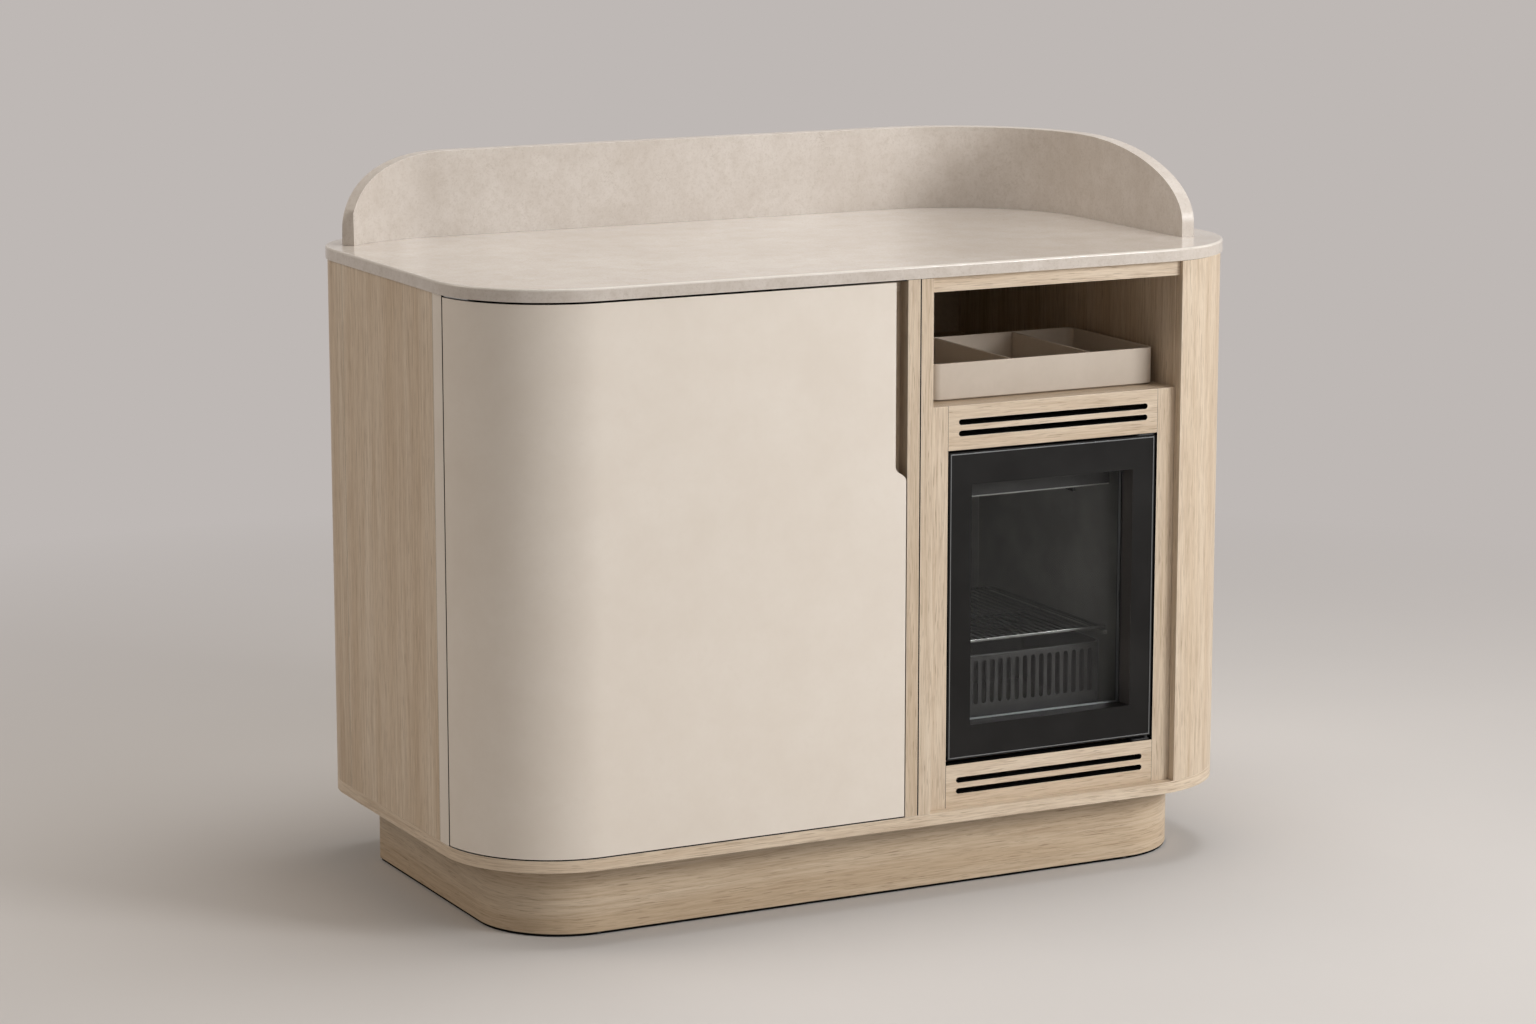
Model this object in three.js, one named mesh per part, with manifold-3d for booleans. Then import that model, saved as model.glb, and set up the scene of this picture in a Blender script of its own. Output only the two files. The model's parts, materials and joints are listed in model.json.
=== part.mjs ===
// Hotel minibar cabinet: a cupboard with a curved door beside an open niche and a glass-door fridge,
// under a stone worktop with a swept upstand, on a recessed plinth.
// Millimetres. X runs to the right, Y to the back, Z up. The origin is on the floor, under the
// middle of the worktop.
import * as THREE from 'three';
import { mergeVertices } from 'three/addons/utils/BufferGeometryUtils.js';
import Module from 'manifold-3d';

// Body and boards
const bodyWidth = 1213;
const bodyDepth = 660;
const worktopHeight = 904;
const worktopThickness = 18;
const worktopOverhang = 3;
const frontCornerRadius = 165;
const rearCornerRadius = 115;
const rearPostFlat = 33;
const panelThickness = 18;
const baseBoardThickness = 17;
const backThickness = 12;
const backInset = 6;

// Plinth and glides
const plinthHeight = 105;
const plinthRecess = 58;
const plinthRearRecess = 108;
const plinthCornerRadius = 125;
const plinthWall = 18;
const glideHeight = 3;
const glideRadius = 8;

// Upstand on the worktop
const upstandHeight = 124;
const upstandThickness = 20;
const upstandSetback = 40;
const upstandEndHeight = 20;
const upstandLeftInset = 28;
const upstandLeftRadius = 234;
const upstandLeftTurn = THREE.MathUtils.degToRad(37);
const upstandLeftSweep = 183;
const upstandRightRadius = 209;
const wingInset = 56;
const wingFrontSetback = 109;
const wingSweep = 280;

// Dividers and the fridge bay
const dividerThickness = 19.5;
const dividerGap = 1.5;
const bayWidth = 405.75;
const bayRightInset = 137;

// Niche over the fridge
const nicheFloorHeight = 702;
const nicheRailHeight = 22;
const nicheRailThickness = 18;
const nicheRailSetback = 10;

// Frame around the fridge door
const frameSetback = 17;
const frameThickness = 18;
const leftStileWidth = 34;
const rightStileWidth = 29;
const upperRailHeight = 64;
const lowerRailHeight = 62.5;
const ventSlotHeight = 7.8;
const ventSlotPitch = 16;
const ventSlotInset = 17;

// Cupboard door, its pivot hinges and its catch
const doorThickness = 20;
const doorBackGap = 2;
const doorTopGap = 3;
const doorBottomGap = 2;
const doorLockGap = 1.6;
const hingeEdgeOffset = 17;
const sideStileWidth = 30;
const notchDepth = 17;
const notchHeight = 278;
const notchCurve = 22;
const doorPivotInset = 6;
const pivotPinRadius = 2.5;
const leafThickness = 3;
const leafInset = 1.5;
const leafTurn = THREE.MathUtils.degToRad(18);
const pivotBracketThickness = 2;
const pivotBracketReach = 45;
const battenWidth = 22;
const battenThickness = 18;
const catchWidth = 42;
const catchHeight = 14;
const catchDepth = 16;
const catchFromBatten = 24;
const strikeThickness = 1.2;
const strikeCornerRadius = 1.2;

// Cupboard shelf
const cupboardShelfHeight = 502;
const cupboardShelfSetback = 46;
const cleatThickness = 16;
const cleatHeight = 18;
const cleatFrontSetback = 190;
const cleatLength = 310;

// Fridge cabinet
const fridgeDepth = 430;
const casingWall = 2;
const insulationThickness = 24;
const linerWall = 2.5;
const shelfRibWidth = 6;
const shelfRibHeight = 4;
const platformThickness = 18;
const platformRearSpace = 120;

// Fridge door
const fridgeDoorThickness = 42;
const fridgeDoorSetback = 1;
const fridgeDoorFootSpace = 3.5;
const doorFrameSide = 36.5;
const doorFrameTop = 47;
const doorFrameBottom = 48;
const glassRecess = 28;
const paneThickness = 4;
const glassRebate = 9;
const spacerWidth = 9;
const trimWidth = 1.4;
const trimInset = 2;
const trimThickness = 0.6;
const gasketThickness = 8;
const gasketWidth = 26;
const gasketInset = 4;
const gasketCornerRadius = 8;
const fridgePivotInset = 5;
const fridgePinRadius = 2.5;
const hingePlateThickness = 2;
const hingePlateWidth = 30;
const hingePlateReach = 40;
const hingePinLength = 9;

// Inside the fridge
const wireShelfHeight = 152;
const wireShelfSetback = 26;
const wireShelfDepth = 330;
const shelfBarHeight = 9;
const shelfBarThickness = 3;
const shelfBarRise = 4;
const shelfRodRadius = 2.5;
const shelfWireRadius = 1.3;
const shelfWireCount = 21;
const basketSetback = 22;
const basketDepth = 230;
const basketHeight = 104;
const basketWall = 2.5;
const basketSideSpace = 10;
const basketCornerRadius = 14;
const basketSlotWidth = 7.5;
const basketSlotCount = 17;
const basketSlotTop = 8;
const basketSlotFoot = 32;
const lampHousingDepth = 70;
const lampHousingHeight = 48;
const lampHousingSetback = 24;
const lampLipDepth = 4;
const lampLipThickness = 3;
const knobRadius = 13;
const knobHeight = 8;
const knobGripHeight = 7;
const knobGripWidth = 5;
const knobBossRadius = 4;
const knobBossHeight = 9;
const knobFromRight = 45;
const evaporatorWidth = 190;
const evaporatorHeight = 120;
const evaporatorTop = 330;
const evaporatorBase = 3;
const evaporatorFinDepth = 14;
const evaporatorFinThickness = 2.5;
const evaporatorFinCount = 11;

// Cooling unit behind the fridge
const tankRadius = 28;
const tankLength = 230;
const tankHeight = 46;
const tankDome = 12;
const coilRadius = 6;
const coilWidth = 250;
const coilPitch = 44;
const coilRuns = 6;
const coilBottom = 120;
const coilStepsPerRun = 12;

// Back panel openings
const ventWidth = 300;
const ventHeight = 330;
const ventBelowOutlet = 14;
const outletRadius = 30;
const outletDrop = 44;
const grommetWall = 3;
const grommetFlange = 7;
const grommetFlangeThickness = 2.5;

// Tray in the niche
const trayWidth = 365;
const trayDepth = 230;
const trayHeight = 53;
const trayWall = 4;
const trayFloor = 4;
const trayCornerRadius = 14;
const trayFootHeight = 2;
const trayFootInset = 6;
const traySideSpace = 11;
const traySetback = 56;
const trayMiddleWidth = 126;
const trayRightWidth = 97;
const trayDividerThickness = 4;
const trayDividerDrop = 1;

// Clearances
const glueLine = 0.1;
const fitGap = 0.3;
const runGap = 0.2;
const hingeRunGap = 0.6;
const railRunGap = 0.4;
const swingClearance = 0.5;
const shelfSideGap = 1;
const catchGap = 0.4;

// How far a cutter passes through what it cuts
const cutOver = 10;

// Counts of flat steps in round stretches
const arcSteps = 12;
const smallArcSteps = 3;
const slotSteps = 1;
const roundSides = 24;
const wireSides = 6;

// Levels and planes that the pieces share
const left = -bodyWidth / 2;
const right = bodyWidth / 2;
const front = -bodyDepth / 2;
const back = bodyDepth / 2;
const baseBottom = glideHeight + plinthHeight;
const baseTop = baseBottom + baseBoardThickness;
const worktopBottom = worktopHeight - worktopThickness;
const backFace = back - backInset - backThickness;
const rearPostStart = back - rearCornerRadius - rearPostFlat;
const bayRight = right - bayRightInset;
const bayLeft = bayRight - bayWidth;
const dividerLeft = bayLeft - 2 * dividerThickness - dividerGap;
const topPanelBottom = worktopBottom - panelThickness;
const doorBack = front + doorThickness;
const behindDoor = doorBack + doorBackGap;
const cornerX = left + frontCornerRadius;
const cornerY = front + frontCornerRadius;
const frameFront = front + frameSetback;
const frameBack = frameFront + frameThickness;

// A door's edge swings clear of its neighbour over this gap
const swingGap = (pivotInset) => pivotInset * (Math.SQRT2 - 1) + swingClearance;

const wasm = await Module();
wasm.setup();

const cabinet = new THREE.Group();

const finishes = {
  stone: [0xcdc4b8, 0.35, 0],
  oak: [0xbda486, 0.6, 0],
  lacquer: [0xd6cabb, 0.55, 0],
  board: [0xb9ab98, 0.8, 0],
  tray: [0xb5a898, 0.6, 0],
  steel: [0x9a9b9c, 0.35, 1],
  aluminium: [0xb9bbbd, 0.4, 1],
  trim: [0x6f7172, 0.4, 1],
  blackFrame: [0x1d1c1b, 0.45, 0],
  casing: [0x2a2a2b, 0.5, 0],
  liner: [0x3a3a39, 0.5, 0],
  foam: [0xd8c9a0, 0.9, 0],
  glass: [0x35383a, 0.05, 0],
  rubber: [0x19191a, 0.85, 0],
  lamp: [0x6d6c69, 0.4, 0],
  basket: [0x2c2b2a, 0.5, 0],
  blackPlastic: [0x222223, 0.6, 0],
};

function addPart(group, name, finish, geometry) {
  const [color, roughness, metalness] = finishes[finish];
  const mesh = new THREE.Mesh(geometry, new THREE.MeshStandardMaterial({ color, roughness, metalness }));
  mesh.name = name;
  group.add(mesh);
  return mesh;
}

function addGroup(parent, x, y, z) {
  const group = new THREE.Group();
  group.position.set(x, y, z);
  parent.add(group);
  return group;
}

// Joins and cuts of closed shapes
function toSolid(geometry) {
  const bare = geometry.clone();
  bare.deleteAttribute('normal');
  bare.deleteAttribute('uv');
  const merged = mergeVertices(bare, 1e-4);
  return new wasm.Manifold(new wasm.Mesh({
    numProp: 3,
    vertProperties: new Float32Array(merged.attributes.position.array),
    triVerts: new Uint32Array(merged.index.array),
  }));
}

function toGeometry(solid) {
  const mesh = solid.getMesh();
  const geometry = new THREE.BufferGeometry();
  geometry.setAttribute('position', new THREE.BufferAttribute(mesh.vertProperties, 3));
  geometry.setIndex(new THREE.BufferAttribute(mesh.triVerts, 1));
  geometry.computeVertexNormals();
  return geometry;
}

function join(first, ...others) {
  return toGeometry(others.reduce((solid, other) => solid.add(toSolid(other)), toSolid(first)));
}

function cut(stock, ...tools) {
  return toGeometry(tools.reduce((solid, tool) => solid.subtract(toSolid(tool)), toSolid(stock)));
}

function overlapOf(first, second) {
  return toGeometry(toSolid(first).intersect(toSolid(second)));
}

// A board between six planes; every face stands half a glue line inside its plane
function block(x0, x1, y0, y1, z0, z1) {
  const box = new THREE.BoxGeometry(x1 - x0 - glueLine, y1 - y0 - glueLine, z1 - z0 - glueLine);
  return box.translate((x0 + x1) / 2, (y0 + y1) / 2, (z0 + z1) / 2);
}

function extrude(shape, length, steps) {
  return new THREE.ExtrudeGeometry(shape, { depth: length, bevelEnabled: false, curveSegments: steps });
}

// A flat outline in X and Y, raised from z0 to z1
function plate(shape, z0, z1, steps = arcSteps) {
  return extrude(shape, z1 - z0 - glueLine, steps).translate(0, 0, z0 + glueLine / 2);
}

const alongX = new THREE.Matrix4().makeBasis(
  new THREE.Vector3(0, 1, 0), new THREE.Vector3(0, 0, 1), new THREE.Vector3(1, 0, 0));
const alongY = new THREE.Matrix4().makeBasis(
  new THREE.Vector3(1, 0, 0), new THREE.Vector3(0, 0, 1), new THREE.Vector3(0, -1, 0));

// An outline in Y and Z, drawn out from x0 to x1
function bar(shape, x0, x1, steps = smallArcSteps) {
  return extrude(shape, x1 - x0 - glueLine, steps).applyMatrix4(alongX).translate(x0 + glueLine / 2, 0, 0);
}

// An outline in X and Z, drawn out from y0 to y1
function panel(shape, y0, y1, steps = smallArcSteps) {
  return extrude(shape, y1 - y0 - glueLine, steps).applyMatrix4(alongY).translate(0, y1 - glueLine / 2, 0);
}

function uprightRod(x, y, z0, z1, radius, sides = roundSides) {
  const rod = new THREE.CylinderGeometry(radius, radius, z1 - z0, sides);
  return rod.rotateX(Math.PI / 2).translate(x, y, (z0 + z1) / 2);
}

function rodAlongX(x0, x1, y, z, radius, sides) {
  const rod = new THREE.CylinderGeometry(radius, radius, x1 - x0, sides);
  return rod.rotateZ(Math.PI / 2).translate((x0 + x1) / 2, y, z);
}

function rodAlongY(x, y0, y1, z, radius, sides) {
  const rod = new THREE.CylinderGeometry(radius, radius, y1 - y0, sides);
  return rod.translate(x, (y0 + y1) / 2, z);
}

// A rectangle with rounded corners, drawn from the middle of its lower edge
function drawRectangle(path, x0, y0, x1, y1, radius) {
  path.moveTo((x0 + x1) / 2, y0);
  if (radius > 0) {
    path.absarc(x1 - radius, y0 + radius, radius, -Math.PI / 2, 0, false);
    path.absarc(x1 - radius, y1 - radius, radius, 0, Math.PI / 2, false);
    path.absarc(x0 + radius, y1 - radius, radius, Math.PI / 2, Math.PI, false);
    path.absarc(x0 + radius, y0 + radius, radius, Math.PI, Math.PI * 1.5, false);
  } else {
    path.lineTo(x1, y0);
    path.lineTo(x1, y1);
    path.lineTo(x0, y1);
    path.lineTo(x0, y0);
  }
  path.closePath();
  return path;
}

const rectangle = (x0, y0, x1, y1, radius = 0) => drawRectangle(new THREE.Shape(), x0, y0, x1, y1, radius);
const rectangleHole = (x0, y0, x1, y1, radius = 0) => drawRectangle(new THREE.Path(), x0, y0, x1, y1, radius);

// The plan of the body: large round corners in front, smaller ones at the back
function drawPlan(path, x0, y0, x1, y1, frontRadius, rearRadius) {
  path.moveTo((x0 + x1) / 2, y0);
  path.absarc(x1 - frontRadius, y0 + frontRadius, frontRadius, -Math.PI / 2, 0, false);
  if (rearRadius > 0) {
    path.absarc(x1 - rearRadius, y1 - rearRadius, rearRadius, 0, Math.PI / 2, false);
    path.absarc(x0 + rearRadius, y1 - rearRadius, rearRadius, Math.PI / 2, Math.PI, false);
  } else {
    path.lineTo(x1, y1);
    path.lineTo(x0, y1);
  }
  path.absarc(x0 + frontRadius, y0 + frontRadius, frontRadius, Math.PI, Math.PI * 1.5, false);
  path.closePath();
  return path;
}

function drawBodyPlan(path, grow) {
  return drawPlan(path, left - grow, front - grow, right + grow, back + grow,
    frontCornerRadius + grow, rearCornerRadius + grow);
}

const bodyPlan = (grow) => drawBodyPlan(new THREE.Shape(), grow);
const bodyPlanHole = (grow) => drawBodyPlan(new THREE.Path(), grow);

// Worktop and upstand
const slabLeft = left - worktopOverhang;
const slabRight = right + worktopOverhang;
const slabFront = front - worktopOverhang;
const slabBack = back + worktopOverhang;
const upstandTop = worktopHeight + upstandHeight;

function upstandPlan() {
  const outerY = slabBack - upstandSetback;
  const innerY = outerY - upstandThickness;
  const leftOuter = upstandLeftRadius + upstandThickness;
  const leftX = slabLeft + upstandLeftInset + leftOuter * Math.sin(upstandLeftTurn);
  const leftY = innerY - upstandLeftRadius;
  const rightOuter = upstandRightRadius + upstandThickness;
  const wingOuter = slabRight - wingInset;
  const wingEnd = slabFront + wingFrontSetback;
  const rightX = wingOuter - rightOuter;
  const rightY = innerY - upstandRightRadius;
  const quarter = Math.PI / 2;
  const plan = new THREE.Shape();
  plan.moveTo((leftX + rightX) / 2, outerY);
  plan.absarc(leftX, leftY, leftOuter, quarter, quarter + upstandLeftTurn, false);
  plan.absarc(leftX, leftY, upstandLeftRadius, quarter + upstandLeftTurn, quarter, true);
  plan.absarc(rightX, rightY, upstandRightRadius, quarter, 0, true);
  plan.lineTo(wingOuter - upstandThickness, wingEnd);
  plan.lineTo(wingOuter, wingEnd);
  plan.absarc(rightX, rightY, rightOuter, 0, quarter, false);
  plan.closePath();
  return { plan, leftX, leftY, wingOuter, wingEnd };
}

// The waste above an end's falling top edge, an ellipse from the end's own height to full height
function sweepWaste(length) {
  const rise = upstandHeight - upstandEndHeight;
  const startZ = worktopHeight + upstandEndHeight;
  const waste = new THREE.Shape();
  waste.moveTo(-cutOver, startZ);
  waste.lineTo(0, startZ);
  waste.absellipse(length, startZ, length, rise, Math.PI, Math.PI / 2, true);
  waste.lineTo(length, upstandTop + cutOver);
  waste.lineTo(-cutOver, upstandTop + cutOver);
  waste.closePath();
  return waste;
}

function makeUpstand() {
  const { plan, leftX, leftY, wingOuter, wingEnd } = upstandPlan();
  const wingInner = wingOuter - upstandThickness;
  const wingCut = bar(sweepWaste(wingSweep), wingInner - cutOver, wingOuter + cutOver, arcSteps)
    .translate(0, wingEnd, 0);
  const outsideRadius = upstandLeftRadius + upstandThickness + fitGap;
  const endAngle = Math.PI / 2 + upstandLeftTurn;
  const reach = upstandThickness * 3;
  const leftCut = panel(sweepWaste(upstandLeftSweep), -reach, reach, arcSteps)
    .rotateZ(upstandLeftTurn / 2)
    .translate(leftX + outsideRadius * Math.cos(endAngle), leftY + outsideRadius * Math.sin(endAngle), 0);
  return cut(plate(plan, worktopHeight, upstandTop), wingCut, leftCut);
}

addPart(cabinet, 'worktop', 'stone', plate(bodyPlan(worktopOverhang), worktopBottom, worktopHeight));
addPart(cabinet, 'upstand', 'stone', makeUpstand());

// Cupboard door: its plan, its hinge edge and its pivot
const sideReach = frontCornerRadius - hingeEdgeOffset;
const hingeEdgeY = front + sideReach;
const outerEdgeAngle = Math.PI + Math.asin(hingeEdgeOffset / frontCornerRadius);
const doorInnerRadius = frontCornerRadius - doorThickness;
const innerEdgeAngle = Math.PI + Math.asin(hingeEdgeOffset / doorInnerRadius);
const doorRight = dividerLeft - doorLockGap;
const doorBottom = baseTop + doorBottomGap;
const doorTop = worktopBottom - doorTopGap;
const pivotX = cornerX + frontCornerRadius * Math.cos(outerEdgeAngle) + doorPivotInset;
const pivotY = hingeEdgeY - doorPivotInset;

function doorPlan() {
  const plan = new THREE.Shape();
  plan.moveTo(doorRight, doorBack);
  plan.absarc(cornerX, cornerY, doorInnerRadius, Math.PI * 1.5, innerEdgeAngle, true);
  plan.absarc(cornerX, cornerY, frontCornerRadius, outerEdgeAngle, Math.PI * 1.5, false);
  plan.lineTo(doorRight, front);
  plan.closePath();
  return plan;
}

// A hinge leaf bends with the door; grow widens it for the pocket that takes it
function leafPlan(innerRadius, grow) {
  const outerRadius = frontCornerRadius - leafInset;
  const edgeTurn = leafInset / frontCornerRadius;
  const growTurn = grow / innerRadius;
  const start = outerEdgeAngle + edgeTurn - growTurn;
  const end = outerEdgeAngle + edgeTurn + leafTurn + growTurn;
  const plan = new THREE.Shape();
  plan.absarc(cornerX, cornerY, outerRadius + grow, start, end, false);
  plan.absarc(cornerX, cornerY, innerRadius - grow, end, start, true);
  plan.closePath();
  return plan;
}

const doorLeafRadius = doorInnerRadius + leafInset * 2;
const bracketRadius = doorInnerRadius - pivotBracketReach;
const leafPocketDepth = leafThickness + fitGap;
const pinHole = pivotPinRadius + runGap;

function makeDoor() {
  const notch = new THREE.Shape();
  const notchEnd = doorTop - notchHeight;
  const notchSide = doorRight - notchDepth;
  notch.moveTo(doorRight + cutOver, doorTop + cutOver);
  notch.lineTo(notchSide, doorTop + cutOver);
  notch.lineTo(notchSide, notchEnd + notchCurve);
  const notchMiddle = notchEnd + notchCurve / 2;
  notch.bezierCurveTo(notchSide, notchMiddle, doorRight, notchMiddle, doorRight, notchEnd);
  notch.lineTo(doorRight + cutOver, notchEnd);
  notch.closePath();
  const pocket = leafPlan(doorLeafRadius, fitGap);
  return cut(
    plate(doorPlan(), doorBottom, doorTop),
    panel(notch, front - cutOver, doorBack + cutOver, arcSteps),
    plate(pocket, doorBottom - cutOver, doorBottom + leafPocketDepth, smallArcSteps),
    plate(pocket, doorTop - leafPocketDepth, doorTop + cutOver, smallArcSteps),
  );
}

function makeDoorLeaf(z0) {
  const hole = uprightRod(pivotX, pivotY, z0 - cutOver, z0 + leafThickness + cutOver, pinHole);
  return cut(plate(leafPlan(doorLeafRadius, 0), z0, z0 + leafThickness, smallArcSteps), hole);
}

addPart(cabinet, 'cupboard_door', 'lacquer', makeDoor());
addPart(cabinet, 'door_leaf_lower', 'steel', makeDoorLeaf(doorBottom));
addPart(cabinet, 'door_leaf_upper', 'steel', makeDoorLeaf(doorTop - leafThickness));

function pivotPin(z0, z1) {
  return uprightRod(pivotX, pivotY, z0, z1, pivotPinRadius);
}

addPart(cabinet, 'pivot_bracket_lower', 'steel', join(
  plate(leafPlan(doorLeafRadius, 0), baseTop - leafThickness, baseTop, smallArcSteps),
  pivotPin(baseTop - leafThickness / 2, doorBottom + leafThickness - runGap),
));
addPart(cabinet, 'pivot_bracket_upper', 'steel', join(
  plate(leafPlan(bracketRadius, 0), worktopBottom - pivotBracketThickness, worktopBottom, smallArcSteps),
  pivotPin(doorTop - leafThickness + runGap, worktopBottom - pivotBracketThickness / 2),
));

// Plinth, glides and base board
function makePlinth() {
  const x0 = left + plinthRecess;
  const x1 = right - plinthRecess;
  const y0 = front + plinthRecess;
  const y1 = back - plinthRearRecess;
  const radius = plinthCornerRadius;
  const plan = drawPlan(new THREE.Shape(), x0, y0, x1, y1, radius, 0);
  const hollow = drawPlan(new THREE.Path(), x0 + plinthWall, y0 + plinthWall,
    x1 - plinthWall, y1 - plinthWall, radius - plinthWall, 0);
  plan.holes.push(hollow);
  return plate(plan, glideHeight, baseBottom);
}

addPart(cabinet, 'plinth', 'oak', makePlinth());

const glideFrontY = front + plinthRecess + plinthWall / 2;
const glideRearY = back - plinthRearRecess - plinthWall / 2;
const glideFrontX = right - plinthRecess - plinthCornerRadius;
const glideRearX = right - plinthRecess - plinthWall / 2;
const glidePlaces = {
  glide_front_left: [-glideFrontX, glideFrontY],
  glide_front_right: [glideFrontX, glideFrontY],
  glide_rear_left: [-glideRearX, glideRearY],
  glide_rear_right: [glideRearX, glideRearY],
};
for (const [name, [x, y]] of Object.entries(glidePlaces)) {
  addPart(cabinet, name, 'blackPlastic', uprightRod(x, y, 0, glideHeight, glideRadius));
}

addPart(cabinet, 'base_board', 'oak', cut(
  plate(bodyPlan(0), baseBottom, baseTop),
  plate(leafPlan(doorLeafRadius, fitGap), baseTop - leafPocketDepth, baseTop + cutOver, smallArcSteps),
));

// Skins: each is a stretch of the wall that follows the body's plan
const wallPlan = bodyPlan(0);
wallPlan.holes.push(bodyPlanHole(-panelThickness));
const wall = plate(wallPlan, baseTop, worktopBottom);

function addSkin(name, finish, x0, x1, y0, y1) {
  const stretch = block(x0, x1, y0, y1, baseTop - cutOver, worktopBottom + cutOver);
  addPart(cabinet, name, finish, overlapOf(wall, stretch));
}

const stileFront = hingeEdgeY + swingGap(doorPivotInset);
const stileBack = stileFront + sideStileWidth;
const rearPostX = right - rearCornerRadius;
addSkin('left_front_stile', 'lacquer', left - cutOver, cornerX, stileFront, stileBack);
addSkin('left_side_panel', 'oak', left - cutOver, cornerX, stileBack, rearPostStart);
addSkin('left_rear_corner', 'oak', left - cutOver, -rearPostX, rearPostStart, back + cutOver);
addSkin('right_front_corner', 'oak', bayRight, right + cutOver, front - cutOver, cornerY);
addSkin('right_side_panel', 'oak', -cornerX, right + cutOver, cornerY, rearPostStart);
addSkin('right_rear_corner', 'oak', rearPostX, right + cutOver, rearPostStart, back + cutOver);

// Dividers, partition, niche and the frame around the fridge door
const bayCentre = (bayLeft + bayRight) / 2;
addPart(cabinet, 'divider_left', 'oak',
  block(dividerLeft, dividerLeft + dividerThickness, front, backFace, baseTop, worktopBottom));
addPart(cabinet, 'divider_right', 'oak',
  block(bayLeft - dividerThickness, bayLeft, front, backFace, baseTop, worktopBottom));
addPart(cabinet, 'right_partition', 'oak', overlapOf(
  block(bayRight, bayRight + panelThickness, front, backFace, baseTop, worktopBottom),
  plate(bodyPlan(-panelThickness - fitGap), baseBottom, worktopHeight),
));

const nicheRailFront = front + nicheRailSetback;
const nicheRailBack = nicheRailFront + nicheRailThickness;
addPart(cabinet, 'niche_top_rail', 'oak',
  block(bayLeft, bayRight, nicheRailFront, nicheRailBack, worktopBottom - nicheRailHeight, worktopBottom));
addPart(cabinet, 'niche_ceiling', 'oak',
  block(bayLeft, bayRight, nicheRailBack, backFace, topPanelBottom, worktopBottom));
addPart(cabinet, 'niche_shelf', 'oak',
  block(bayLeft, bayRight, frameBack, backFace, nicheFloorHeight - panelThickness, nicheFloorHeight));

const openingLeft = bayLeft + leftStileWidth;
const openingRight = bayRight - rightStileWidth;
const openingBottom = baseTop + lowerRailHeight;
const openingTop = nicheFloorHeight - upperRailHeight;
addPart(cabinet, 'fridge_stile_left', 'oak',
  block(bayLeft, openingLeft, frameFront, frameBack, baseTop, nicheFloorHeight));
addPart(cabinet, 'fridge_stile_right', 'oak',
  block(openingRight, bayRight, frameFront, frameBack, baseTop, nicheFloorHeight));

function makeVentRail(z0, z1) {
  const half = glueLine / 2;
  const rail = rectangle(openingLeft + half, z0 + half, openingRight - half, z1 - half);
  const middle = (z0 + z1) / 2;
  for (const side of [-1, 1]) {
    const z = middle + side * ventSlotPitch / 2;
    rail.holes.push(rectangleHole(openingLeft + ventSlotInset, z - ventSlotHeight / 2,
      openingRight - ventSlotInset, z + ventSlotHeight / 2, ventSlotHeight / 2));
  }
  return panel(rail, frameFront, frameBack);
}

addPart(cabinet, 'upper_vent_rail', 'oak', makeVentRail(openingTop, nicheFloorHeight));
addPart(cabinet, 'lower_vent_rail', 'oak', makeVentRail(baseTop, openingBottom));

// Back panel with the fridge's vent and a cable outlet
const outletHeight = nicheFloorHeight - panelThickness - outletDrop;
const ventTop = outletHeight - outletRadius - ventBelowOutlet;

function makeBackPanel() {
  const outlet = new THREE.CylinderGeometry(outletRadius + fitGap, outletRadius + fitGap,
    backThickness + 2 * cutOver, roundSides).translate(bayCentre, backFace + backThickness / 2, outletHeight);
  return cut(
    block(-rearPostX, rearPostX, backFace, back - backInset, baseTop, worktopBottom),
    block(bayCentre - ventWidth / 2, bayCentre + ventWidth / 2, backFace - cutOver, back + cutOver,
      ventTop - ventHeight, ventTop),
    outlet,
  );
}

function makeGrommet() {
  const bore = outletRadius - grommetWall;
  const flangeRadius = outletRadius + grommetFlange;
  const flangeStart = backThickness + glueLine;
  const flangeEnd = flangeStart + grommetFlangeThickness;
  const profile = [[bore, 0], [outletRadius, 0], [outletRadius, flangeStart], [flangeRadius, flangeStart],
    [flangeRadius, flangeEnd], [bore, flangeEnd], [bore, 0]];
  return new THREE.LatheGeometry(profile.map(([r, y]) => new THREE.Vector2(r, y)), roundSides)
    .translate(bayCentre, backFace, outletHeight);
}

addPart(cabinet, 'back_panel', 'board', makeBackPanel());
addPart(cabinet, 'cable_grommet', 'blackPlastic', makeGrommet());

// Inside the cupboard
function cupboardPlan(frontSetback, sideGap, rightX) {
  const x0 = left + panelThickness + sideGap;
  const y1 = backFace - sideGap;
  const radius = frontCornerRadius - frontSetback;
  const rearRadius = rearCornerRadius - panelThickness - sideGap;
  const rearX = left + rearCornerRadius;
  const rearY = back - rearCornerRadius;
  const plan = new THREE.Shape();
  plan.moveTo(rightX, front + frontSetback);
  plan.lineTo(rightX, y1);
  const rearTurn = Math.asin(Math.min(1, (y1 - rearY) / rearRadius));
  plan.absarc(rearX, rearY, rearRadius, Math.PI - rearTurn, Math.PI, false);
  plan.lineTo(x0, cornerY);
  plan.absarc(cornerX, cornerY, radius, Math.PI, Math.PI * 1.5, false);
  plan.closePath();
  return plan;
}

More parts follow.
